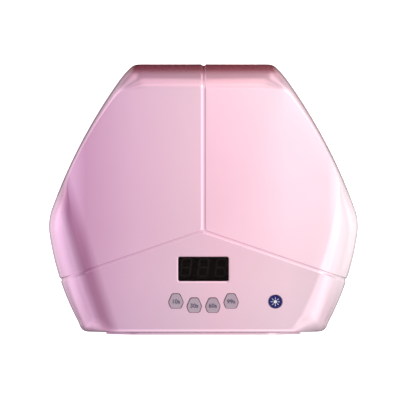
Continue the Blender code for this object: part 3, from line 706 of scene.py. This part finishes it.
# The three digits: half sizes of one, its lean, their pitch, and the ends of the segments in half sizes.
DIGIT_HALF = (3.4 * MM, 6.7 * MM)
DIGIT_LEAN = 0.13
DIGIT_PITCH = 12.6 * MM
SEGMENT_WIDTH = 1.5 * MM
SEGMENT_GAP = 0.12 * MM
SEGMENTS = (((-1, 1), (1, 1)), ((1, 1), (1, 0)), ((1, 0), (1, -1)), ((1, -1), (-1, -1)),
            ((-1, -1), (-1, 0)), ((-1, 0), (-1, 1)), ((-1, 0), (1, 0)))


def segment_outline(start, end):
    """A bar with pointed ends."""
    along = (end - start).normalized()
    tip = along * (SEGMENT_WIDTH / 2)
    side = Vector((-tip.y, tip.x))
    start, end = start + along * SEGMENT_GAP, end - along * SEGMENT_GAP
    return [start, start + tip - side, end - tip - side, end, end - tip + side, start + tip + side]


def digit_corner(digit, x, y):
    height = y * DIGIT_HALF[1]
    return Vector((digit * DIGIT_PITCH + x * DIGIT_HALF[0] + height * DIGIT_LEAN, height))


def make_display(lens_material, face_material, segment_material):
    spot = PANEL @ at(0, WINDOW_Y)
    outline = rounded(rectangle(*WINDOW), 1.4 * MM)
    lens = rounded_prism(outline, -3.0 * MM, -0.2 * MM, 0.35 * MM, inner_rings=1)
    flange = slab(rectangle(WINDOW[0] + 4 * MM, WINDOW[1] + 3.6 * MM), -3.7 * MM, -2.7 * MM)
    lens = combined(lens, flange, "UNION")
    weighted(piece("window_lens", lens, lens_material, ["display_lens"], matrix=spot))

    module = span_box(*mm((-18.8, -9.5, -10.7), (18.8, 9.5, -4.2)), 0.3 * MM)
    piece("digit_module", module, face_material, ["display_module"], matrix=spot)
    bars = []
    for digit in (-1, 0, 1):
        for start, end in SEGMENTS:
            outline = segment_outline(digit_corner(digit, *start), digit_corner(digit, *end))
            bars.append((slab(outline, -4.25 * MM, -4.0 * MM), Matrix()))
    piece("digit_segments", joined(bars), segment_material, matrix=spot)


def make_badge(enamel, metal):
    """A round badge with a plain sun: a disc and eight rays."""
    radius = BADGE_RADIUS / MM
    rim = turned(mm((0, -0.3), (radius, -0.3), (radius, 0.15), (radius - 0.15, 0.36), (radius - 0.35, 0.40),
                    (radius - 0.5, 0.36), (radius - 0.6, 0.24), (0, 0.24)), 64)
    spot = PANEL @ at(*BADGE)
    piece("badge_disc", rim, enamel, ["front_badge"], matrix=spot)
    low, high = 0.2 * MM, 0.34 * MM
    ray = slab(mm((1.85, -0.24), (3.4, -0.13), (3.4, 0.13), (1.85, 0.24)), low, high)
    sun = [(slab(circle(1.25 * MM), low, high), Matrix())] + [(ray, turn(45 * i, "Z")) for i in range(8)]
    piece("badge_sun", joined(sun), metal, matrix=spot)


# ---- the hand cavity


def reflector_line(shrink, height, steps=64):
    """One ring of the reflector, from the front left round the rear to the front right."""
    half, rear = REFLECTOR_HALF - shrink, REFLECTOR_REAR - shrink
    points = [(-half, REFLECTOR_FRONT, height)]
    for step in range(steps + 1):
        angle = math.pi * (1 - step / steps)
        across = abs(math.cos(angle)) ** (2 / CORNER_POWER)
        back = math.sin(angle) ** (2 / CORNER_POWER) if 0 < step < steps else 0
        points.append((math.copysign(half * across, math.cos(angle)), REFLECTOR_BEND + rear * back, height))
    points.append((half, REFLECTOR_FRONT, height))
    return points


def soft_profile(points, cut, steps=4):
    """The open profile with its inner corners rounded."""
    points = [Vector(p) for p in points]
    soft = [points[0]]
    for before, corner, after in zip(points, points[1:], points[2:]):
        near = min(cut, (before - corner).length / 2, (after - corner).length / 2)
        soft += eased(before, corner, after, near, steps)
    return soft + [points[-1]]


def reflector_skin():
    bm = bmesh.new()
    profile = soft_profile(REFLECTOR_RINGS, 2.5 * MM)
    rings = [[bm.verts.new(p) for p in reflector_line(*ring)] for ring in profile]
    strips(bm, rings)
    bm.faces.new(rings[-1])
    skin = added(mesh_from(bm))
    return evaluated(modified(skin, "SOLIDIFY", thickness=REFLECTOR_WALL, offset=1, use_even_offset=True))


def make_reflector(material):
    hole = flared(circle(LED_HOLE), -4 * MM, 0.5 * MM)
    eye_hole = flared(circle(2.8 * MM), -4 * MM, 0.4 * MM)
    screw_hole = turned(mm((0, 6), (1.5, 6), (1.5, 12), (0, 12)), 24)
    cutters = [(hole, bank @ at(x, y) @ UPSIDE_DOWN) for bank, places in BANKS.values() for x, y in places]
    cutters += [(eye_hole, at(*node_centre(name).xy, ROOF) @ UPSIDE_DOWN) for name in EYES]
    cutters += [(screw_hole, matrix) for matrix in spots("reflector_screw_")]
    mesh = combined(reflector_skin(), joined(cutters))
    weighted(piece("cavity_reflector", mesh, material, ["reflector"], angle=40))


def node_centre(node):
    low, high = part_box(node)
    return (low + high) / 2


def spots(prefix):
    """Where the nodes with this prefix stand in plan, in the order of their names."""
    return [at(*node_centre(name).xy) for name in sorted(NODES) if name.startswith(prefix)]


def make_led_beads(material):
    """A domed bead in each hole."""
    dome = turned(mm((0, -0.25), (1.85, -0.25), (1.85, -0.45), (1.68, -0.85), (1.30, -1.22), (0.70, -1.46),
                     (0, -1.55)), 24)
    for name, (bank, places) in BANKS.items():
        beads = copies(dome, [bank @ at(x, y) for x, y in places])
        piece(f"led_beads_{name}", beads, material)


def make_eyes(material):
    for name in EYES:
        low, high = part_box(name)
        radius, nose = (high.x - low.x) / 2, 2.5 * MM
        profile = [(0, high.z), (radius, high.z), (radius, low.z + nose)]
        profile += [(0.98 * radius * x, low.z + nose * (1 + y)) for x, y in swept((0, 0), 1, 0, -90, 8)]
        profile[-1] = (0, low.z)
        piece(name + "_eye", turned(profile), material, [name], matrix=spots(name)[0])


# ---- the base and the tray


def make_base_frame(material):
    low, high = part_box("base_frame")
    edge = grown(softened(mirrored(WALL_OUTLINE), WALL_SOFTENING), WALL + 3 * GAP)
    inner = rounded(rectangle(0.116, 0.1315, (0, -0.01775)), 0.012)
    holes = [circle(1.7 * MM, spot.translation, 24) for spot in spots("base_screw_")]
    holes += [circle(1.4 * MM, spot.translation, 24) for spot in spots("reflector_screw_")]
    mesh = bevelled(plate([edge, inner, *holes], low.z, high.z), 0.35 * MM)
    seat = turned(mm((0, 0), (3.2, 0), (3.2, 5.1), (0, 5.1)), 32)
    mesh = combined(mesh, copies(seat, spots("base_screw_")))
    pocket = turned(mm((0, 3.6), (3.5, 3.6), (3.5, 8), (0, 8)), 32)
    mesh = combined(mesh, copies(pocket, spots("tray_magnet_")))
    weighted(piece("bottom_frame", mesh, material, ["base_frame"]))


def make_feet(material):
    for name in ("foot_front_left", "foot_front_right", "foot_rear_left", "foot_rear_right"):
        low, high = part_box(name)
        radius, edge, tread = (high.x - low.x) / 2, 0.9 * MM, 0.35 * MM
        profile = [(0, high.z), (radius, high.z), (radius, edge)]
        profile += swept((radius - edge, edge), edge, 0, -90, 5)
        profile += [(4.6 * MM, 0), (4.4 * MM, tread), (3.8 * MM, tread), (3.6 * MM, 0), (0, 0)]
        piece(name + "_pad", turned(profile), material, [name], matrix=spots(name)[0])


def cross_recess(arm, depth):
    """The cutter of a crosshead recess, its opening at z = 0 and its tip at -depth."""
    half = arm * 0.22
    blade = loft([[(-r, -w, z), (r, -w, z), (r, w, z), (-r, w, z)]
                  for r, w, z in ((arm * 0.35, half * 0.7, -depth), (arm, half, 0), (arm, half, depth))])
    return combined(blade, copies(blade, [turn(90, "Z")]), "UNION")


def make_base_screws(material):
    low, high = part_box("base_screw_1")
    shank, head, seat, edge = 1.2 * MM, 2.8 * MM, 4.8 * MM, 0.5 * MM
    profile = [(0, high.z), (shank, high.z - 1 * MM), (shank, seat), (head, seat), (head, low.z + edge)]
    profile += [*swept((head - edge, low.z + edge), edge, 0, -90, 4), (0, low.z)]
    tool = cross_recess(1.9 * MM, 1.0 * MM)
    tool.transform(at(0, 0, low.z) @ UPSIDE_DOWN)
    screw = combined(turned(profile, 40), tool)
    for number, spot in enumerate(spots("base_screw_"), 1):
        piece(f"case_screw_{number}", screw.copy(), material, [f"base_screw_{number}"],
              matrix=spot @ turn(SCREW_TURN * number, "Z"))


def make_tray(material):
    """The bent sheet of the tray, with a round bend in front and round rear corners."""
    low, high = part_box("base_tray")
    thickness = 1.4 * MM
    bottom = high.z - thickness
    outer, inner = 1.5 * MM, 0.3 * MM
    front, back = low.y, low.y + thickness
    profile = [(high.y, bottom), (high.y, high.z)]
    profile += swept((front + outer, high.z - outer), outer, 90, 180, 8)
    profile += [(front, low.z), (back, low.z)]
    profile += swept((back + inner, bottom - inner), inner, 180, 90, 3)
    sheet = loft([[(x, y, z) for y, z in profile] for x in (low.x, high.x)])
    corner, length = 0.026, 0.24
    outline = rounded(rectangle(high.x - low.x + GAP, length, (0, high.y - length / 2)), corner, 24)
    sheet = bevelled(combined(sheet, slab(outline, 0, 0.02), "INTERSECT"), 0.2 * MM, 2, 50)
    weighted(piece("hand_tray", sheet, material, ["base_tray"], body="tray"))


def make_jack(plastic):
    low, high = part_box("dc_jack")
    body = span_box(low, (high.x, JACK_BODY_REAR, high.z), 0.4 * MM)
    nose = turned(mm((0, 94.8), (4.7, 94.8), (4.7, 97.6), (4.5, 97.9), (4.2, 98.0), (0, 98.0)))
    bore = turned(mm((0, 89.5), (3.1, 89.5), (3.1, 97.4), (3.3, 97.8), (3.7, 98.1), (3.7, 100), (0, 100)))
    for mesh in (nose, bore):
        mesh.transform(at(JACK_X, 0, JACK_Z) @ BACKWARD)
    jack = combined(combined(body, nose, "UNION"), bore)
    weighted(piece("power_socket", jack, plastic, ["dc_jack"]))


# ---- materials


class Graph:
    """A node tree, with a short way to add a node."""

    def __init__(self, tree):
        self.nodes = tree.nodes
        self.links = tree.links

    def put(self, socket, value):
        """Links a socket, or sets its number, vector or colour."""
        if isinstance(value, bpy.types.NodeSocket):
            self.links.new(value, socket)
        else:
            socket.default_value = (*value, 1) if socket.type == "RGBA" else value

    def node(self, kind, sockets=None, **settings):
        """A new node with its settings, and with what goes into its sockets by name or number."""
        node = self.nodes.new("ShaderNode" + kind)
        for name, value in settings.items():
            setattr(node, name, value)
        for key, value in (sockets or {}).items():
            self.put(node.inputs[key], value)
        return node

    def math(self, operation, first, second):
        return self.node("Math", {0: first, 1: second}, operation=operation).outputs["Value"]

    def along(self, place, direction):
        """How far a place is along a direction."""
        return self.node("VectorMath", {0: place, 1: direction}, operation="DOT_PRODUCT").outputs["Value"]


class Finish(Graph):
    """A new Principled material, and the few node chains that finishes are made of."""

    def __init__(self, name, colour, roughness, metallic=0.0, **sockets):
        self.made = bpy.data.materials.new(name)
        self.made.use_nodes = True
        super().__init__(self.made.node_tree)
        self.shader = self.nodes["Principled BSDF"]
        sockets |= {"Base_Color": colour, "Roughness": roughness, "Metallic": metallic}
        for socket, value in sockets.items():
            self.put(self.shader.inputs[socket.replace("_", " ")], value)
        self.place = self.nodes.new("ShaderNodeTexCoord").outputs["Object"]

    def stretched(self, scale):
        return self.node("Mapping", {"Scale": scale, "Vector": self.place}).outputs["Vector"]

    def noise(self, scale, detail=2.0, place=None):
        sockets = {"Scale": scale, "Detail": detail, "Vector": place or self.place}
        return self.node("TexNoise", sockets).outputs["Fac"]

    def cells(self, scale, **settings):
        sockets = {"Scale": scale, "Vector": self.place}
        return self.node("TexVoronoi", sockets, **settings).outputs["Distance"]

    def ramp(self, source, stops):
        """A colour ramp from (position, colour) stops. A single number is a grey."""
        node = self.node("ValToRGB", {"Fac": source})
        while len(node.color_ramp.elements) < len(stops):
            node.color_ramp.elements.new(0.5)
        for element, (position, colour) in zip(node.color_ramp.elements, stops):
            element.position = position
            element.color = (*colour, 1) if isinstance(colour, tuple) else (colour, colour, colour, 1)
        return node.outputs["Color"]

    def blend(self, mode, factor, first, second):
        """A mix of two colours, which are a Mix node's sockets 6 and 7. Its result is output 2."""
        sockets = {"Factor": factor, 6: first, 7: second}
        return self.node("Mix", sockets, data_type="RGBA", blend_type=mode).outputs[2]

    def vary(self, socket, source, stops=None):
        """Drives a socket of the shader by a source, or by a ramp over it."""
        self.put(self.shader.inputs[socket], self.ramp(source, stops) if stops else source)
        return self

    def bump(self, source, height, strength=1.0):
        """Bumps of this height in metres."""
        bump = self.node("Bump", {"Distance": height, "Strength": strength, "Height": source})
        self.put(self.shader.inputs["Normal"], bump.outputs["Normal"])
        return self


# The lacquer's tints with painted light and shade, as places in metres and colours: from left to right, and
# what deepens them from front to rear, from the rim up, and in a band along the left shoulder, measured
# square to the panel's left edge.
LACQUER_SPAN = 0.230
# Left to right: the lacquer's own lilac to pink shift, with painted light on the shoulders: a pale lilac
# painted highlight at the left edge, painted shade at -0.085 and a nearly white painted highlight at the
# right edge.
TINT_AND_PAINTED_LIGHT_ACROSS = (
    (-0.115, (0.95, 0.60, 0.90)),
    (-0.085, (0.58, 0.30, 0.48)),
    (-0.050, (0.70, 0.42, 0.57)),
    (-0.010, (0.77, 0.50, 0.61)),
    (0.010, (0.85, 0.52, 0.63)),
    (0.060, (0.89, 0.61, 0.70)),
    (0.090, (0.80, 0.58, 0.65)),
    (0.115, (1.0, 1.0, 1.0)),
)
# Front to rear: tint changes, and from 0.083 on the painted shade of the rear roll-off, deepening to a dark
# rose at the rear edge.
TINT_AND_PAINTED_SHADE_ALONG = (
    (-0.098, (0.80, 0.86, 0.86)),
    (-0.060, (0.88, 0.91, 0.90)),
    (-0.023, 0.89),
    (0.030, 0.95),
    (0.083, (0.96, 1.0, 0.98)),
    (0.090, (1.0, 0.86, 0.88)),
    (0.094, (0.60, 0.26, 0.28)),
)
# Rim up: painted shade, the walls darker and deeper pink towards the rim.
PAINTED_SHADE_UP = ((0.015, (0.80, 0.60, 0.70)), (0.058, 1.0))
# A painted dark reflection, in a band along the left shoulder.
LEFT_SHOULDER = (-0.953, -0.301, 0)
PAINTED_REFLECTION_BAND = ((0.086, 1.0), (0.093, (0.64, 0.48, 0.57)), (0.0965, (0.64, 0.48, 0.57)), (0.1025, 1.0))
REFLECTION_BAND_STARTS, REFLECTION_BAND_FULL = 0.045, 0.065  # the heights between which that band comes in


def pearl():
    """Pearl lacquer, lilac on the left and pink in the middle, with painted light: a nearly white painted
    highlight on the right, painted shade at the rear edge and low walls, a painted dark reflection on the
    left shoulder.
    """
    finish = Finish("pearl_lacquer_and_painted_light", (0.9, 0.6, 0.7), 0.20, 0.50, Coat_Weight=0.4, Coat_Roughness=0.05,
                    Specular_Tint=(0.75, 0.45, 0.52))

    def tints(direction, stops):
        share = finish.math("DIVIDE", finish.along(finish.place, direction), LACQUER_SPAN)
        return finish.ramp(finish.math("ADD", share, 0.5), [(d / LACQUER_SPAN + 0.5, c) for d, c in stops])

    # The tints across and along, with their painted highlights and painted shade.
    colour = finish.blend("MULTIPLY", 1.0, tints((1, 0, 0), TINT_AND_PAINTED_LIGHT_ACROSS), tints((0, 1, 0), TINT_AND_PAINTED_SHADE_ALONG))
    # Painted shade low on the walls.
    colour = finish.blend("MULTIPLY", 1.0, colour, tints((0, 0, 1), PAINTED_SHADE_UP))
    # The painted dark reflection band, faded in with height.
    high = tints((0, 0, 1), ((REFLECTION_BAND_STARTS, 0.0), (REFLECTION_BAND_FULL, 1.0)))
    colour = finish.blend("MULTIPLY", high, colour, tints(LEFT_SHOULDER, PAINTED_REFLECTION_BAND))
    flakes = finish.ramp(finish.cells(3000), ((0.0, 0.94), (0.6, 1.0)))
    finish.vary("Base Color", finish.blend("MULTIPLY", 0.5, colour, flakes))
    finish.vary("Roughness", finish.noise(40.0), ((0.3, 0.18), (0.7, 0.22)))
    return finish.bump(finish.noise(150.0, 1.0), 0.004 * MM).made


def moulded(name, colour, roughness, grain=2200.0, height=0.012 * MM, **sockets):
    """Moulded plastic or rubber with a fine grain, faint blotches and uneven gloss."""
    finish = Finish(name, colour, roughness, **sockets)
    darker = tuple(0.90 * c for c in colour)
    finish.vary("Base Color", finish.noise(45.0, 4.0), ((0.30, darker), (0.62, colour)))
    gloss = ((0.3, roughness * 0.85), (0.7, min(1.0, roughness * 1.2)))
    finish.vary("Roughness", finish.noise(160.0, 3.0), gloss)
    return finish.bump(finish.noise(grain), height).made


def smoked_window():
    finish = Finish("smoked_window", (0.004, 0.002, 0.002), 0.06, Alpha=0.55, Specular_IOR_Level=0.07)
    return finish.vary("Roughness", finish.noise(28.0, 5.0), ((0.35, 0.04), (0.75, 0.10))).made


def mirror_coat():
    """Vacuum-metallised plastic: bright, slightly wavy, with a few dull specks."""
    finish = Finish("mirror_coat", (0.88, 0.88, 0.90), 0.14, 1.0)
    shades = ((0.3, (0.84, 0.84, 0.87)), (0.7, (0.90, 0.90, 0.92)))
    finish.vary("Base Color", finish.noise(24.0, 3.0), shades)
    finish.vary("Roughness", finish.noise(300.0, 4.0), ((0.45, 0.10), (0.72, 0.26)))
    return finish.bump(finish.noise(55.0), 0.05 * MM, 0.6).made


def brushed_steel(name, colour):
    """Steel brushed from side to side."""
    finish = Finish(name, colour, 0.28, 1.0)
    strokes = finish.noise(1.0, 3.0, finish.stretched((40.0, 2600.0, 2600.0)))
    darker = tuple(0.86 * c for c in colour)
    finish.vary("Base Color", strokes, ((0.3, darker), (0.7, colour)))
    finish.vary("Roughness", strokes, ((0.25, 0.20), (0.75, 0.36)))
    return finish.bump(strokes, 0.006 * MM).made


def machined_steel():
    finish = Finish("machined_steel", (0.60, 0.60, 0.62), 0.25, 1.0)
    marks = finish.noise(900.0, 4.0)
    finish.vary("Base Color", marks, ((0.3, (0.50, 0.50, 0.52)), (0.7, (0.68, 0.68, 0.70))))
    finish.vary("Roughness", marks, ((0.3, 0.18), (0.7, 0.36)))
    return finish.bump(marks, 0.006 * MM).made


def solder_mask(name, colour, trace):
    """A circuit board: solder mask with traces that show through as raised lines."""
    finish = Finish(name, colour, 0.35)
    cells = finish.cells(260.0, distance="CHEBYCHEV")
    lines = finish.ramp(cells, ((0.40, 0.0), (0.44, 1.0), (0.48, 1.0), (0.52, 0.0)))
    finish.vary("Base Color", finish.blend("MIX", lines, colour, trace))
    return finish.bump(lines, 0.03 * MM).made


def wound_copper():
    finish = Finish("wound_copper", (0.62, 0.32, 0.18), 0.35, 1.0)
    sockets = {"Scale": 900.0, "Vector": finish.place}
    waves = finish.node("TexWave", sockets, bands_direction="Y").outputs["Fac"]
    finish.vary("Base Color", waves, ((0.1, (0.30, 0.13, 0.07)), (0.8, (0.68, 0.36, 0.20))))
    return finish.bump(waves, 0.1 * MM).made


def dress_nodes(patterns, material):
    """Gives the CAD nodes that stay visible a finished material."""
    for pattern in patterns:
        for name in fnmatch.filter(NODES, pattern):
            for slot in NODES[name].material_slots:
                slot.material = material


# ---- stage, lights and camera


CAMERA_HEIGHT = 6.0
PHOTO_SPAN = 0.2904  # the width of the view at the height of the shell's walls
VIEW_CENTRE = Vector((-0.0025, -0.0005, 0.045))


def make_camera():
    data = bpy.data.cameras.new("camera")
    data.lens = data.sensor_width * (CAMERA_HEIGHT - VIEW_CENTRE.z) / PHOTO_SPAN
    data.clip_end = 50
    camera = added(data, "camera")
    camera.location = (*VIEW_CENTRE.xy, CAMERA_HEIGHT)
    bpy.context.scene.camera = camera


PALE = (1.0, 0.985, 0.99)
FLOOR_WIDTH = 18
FLOOR_GLOW = 0.8
PATCH_CORE = 0.2  # the share of a patch's spread that has its full strength

# The studio: soft patches of light round the lamp, as azimuth and elevation in degrees (0 is the right, 90
# the rear), spread in degrees and strength. The bands are rows of patches on one side.
LEFT_BANDS = ((6, 18, 0.18), (-14, 20, 0.52), (-38, 22, 0.70))
RIGHT_BANDS = ((60, 18, 0.48), (40, 18, 0.92), (15, 22, 0.92), (-12, 22, 0.60), (-38, 22, 0.40))
PATCHES = (
    (270, 35, 125, 0.96),
    (270, 5, 28, 0.35),
    (270, -20, 32, 0.70),
    (305, 32, 20, 0.60),
    (311, -6, 28, 0.55),
    (180, 77, 22, 0.22),
    (0, 77, 22, 0.18),
    (90, 64, 18, 1.30),
    (135, 32, 22, 1.70),
    (135, 0, 30, 1.20),
    (135, -34, 28, 1.05),
    (45, 32, 22, 1.70),
    (45, 0, 30, 1.25),
    (45, -34, 28, 1.10),
    (167, -61, 24, 0.90),
    (13, -61, 24, 0.95),
    (215, -62, 24, 0.20),
    (325, -62, 24, 0.25),
    *[(azimuth, *band) for band in LEFT_BANDS for azimuth in (150, 172, 194, 216, 238)],
    *[(azimuth, *band) for band in RIGHT_BANDS for azimuth in (330, 352, 14, 36)],
)
ROSE = (1.0, 0.86, 0.84)
ROSE_PATCHES = (
    (90, 34, 26, 1.50),
    (90, 0, 28, 1.00),
)


def make_floor():
    """A pale light table. It is seen from above only, and the gloss doesn't mirror it."""
    mesh = bpy.data.meshes.new("floor")
    mesh.from_pydata([(x, y, 0) for x, y in rectangle(FLOOR_WIDTH, FLOOR_WIDTH)], [], [range(4)])
    floor = added(mesh, "floor")
    floor.visible_glossy = False
    made = bpy.data.materials.new("floor")
    made.use_nodes = True
    graph = Graph(made.node_tree)
    shader = graph.nodes["Principled BSDF"]
    for socket, value in (("Base Color", (0.90, 0.895, 0.90)), ("Roughness", 0.6),
                          ("Emission Color", PALE), ("Emission Strength", FLOOR_GLOW)):
        graph.put(shader.inputs[socket], value)
    below = graph.node("NewGeometry").outputs["Backfacing"]
    clear = graph.node("BsdfTransparent").outputs["BSDF"]
    mix = graph.node("MixShader", {0: below, 1: shader.outputs["BSDF"], 2: clear})
    graph.put(graph.nodes["Material Output"].inputs["Surface"], mix.outputs["Shader"])
    mesh.materials.append(made)


def patches_of_light(graph, patches, colour):
    """A background that adds up soft patches of one colour."""
    place = graph.node("TexCoord").outputs["Generated"]
    total = 0.0
    for azimuth, elevation, spread, strength in patches:
        towards = turn(azimuth, "Z") @ turn(-elevation, "Y") @ Vector((1, 0, 0))
        sockets = {"Value": graph.along(place, towards), "To Max": strength,
                   "From Min": math.cos(math.radians(spread)),
                   "From Max": math.cos(math.radians(spread * PATCH_CORE))}
        patch = graph.node("MapRange", sockets, interpolation_type="SMOOTHSTEP")
        total = graph.math("ADD", total, patch.outputs["Result"])
    return graph.node("Background", {"Color": colour, "Strength": total}).outputs["Background"]


def make_world():
    """The patches of light as a sky, and a plain pale backdrop for the camera."""
    world = bpy.data.worlds.new("studio")
    bpy.context.scene.world = world
    world.use_nodes = True
    graph = Graph(world.node_tree)
    graph.nodes.clear()
    white, rose = patches_of_light(graph, PATCHES, (1, 1, 1)), patches_of_light(graph, ROSE_PATCHES, ROSE)
    sky = graph.node("AddShader", {0: white, 1: rose}).outputs["Shader"]
    backdrop = graph.node("Background", {"Color": PALE}).outputs["Background"]
    seen = graph.node("LightPath").outputs["Is Camera Ray"]
    mix = graph.node("MixShader", {0: seen, 1: sky, 2: backdrop})
    graph.node("OutputWorld", {"Surface": mix.outputs["Shader"]})


def main():
    bpy.context.scene.view_settings.view_transform = "Standard"
    make_camera()
    make_floor()
    make_world()

    # The pearl lacquer carries painted highlights, painted shade and a painted dark reflection.
    shell = pearl()
    black = moulded("black_plastic", (0.028, 0.028, 0.030), 0.42)
    white = moulded("white_plastic", (0.56, 0.55, 0.56), 0.42)
    steel = machined_steel()
    make_top_shell(shell)
    make_mouth_trim(shell)
    make_keys(moulded("key_plastic", (0.34, 0.255, 0.31), 0.34, height=0.004 * MM),
              moulded("label_ink", (0.030, 0.020, 0.060), 0.45, height=0.002 * MM))
    make_display(smoked_window(), moulded("module_face", (0.006, 0.004, 0.004), 0.6, Specular_IOR_Level=0.1),
                 moulded("segment_epoxy", (0.12, 0.095, 0.09), 0.5, Specular_IOR_Level=0.2))
    enamel = moulded("badge_enamel", (0.010, 0.008, 0.11), 0.30, height=0.002 * MM, Specular_IOR_Level=0.2)
    make_badge(enamel, brushed_steel("badge_metal", (0.82, 0.82, 0.86)))
    make_reflector(mirror_coat())
    make_led_beads(moulded("led_silicone", (0.72, 0.66, 0.86), 0.12, height=0.001 * MM))
    make_eyes(moulded("eye_resin", (0.020, 0.010, 0.026), 0.10, height=0.001 * MM))
    make_base_frame(white)
    make_feet(moulded("rubber", (0.045, 0.045, 0.048), 0.80, grain=1500.0, height=0.03 * MM))
    make_base_screws(steel)
    make_tray(brushed_steel("tray_steel", (0.70, 0.70, 0.72)))
    make_jack(black)

    dress_nodes(("dc_jack_pin", "board_screw_?", "reflector_screw_?", "tray_magnet_?", "switch_*"), steel)
    dress_nodes(("tray_rail_*", "key_guide"), white)
    dress_nodes(("control_chip", "driver_capacitor", "*_plunger"), black)
    dress_nodes(("control_board", "sensor_board", "driver_board"),
                solder_mask("green_board", (0.03, 0.16, 0.07), (0.06, 0.26, 0.12)))
    dress_nodes(("led_board_*",), solder_mask("white_board", (0.80, 0.80, 0.78), (0.66, 0.66, 0.64)))
    dress_nodes(("driver_inductor",), wound_copper())
    dress_nodes(("control_harness", "led_harness_*"), moulded("cable_jacket", (0.66, 0.05, 0.05), 0.45))


main()
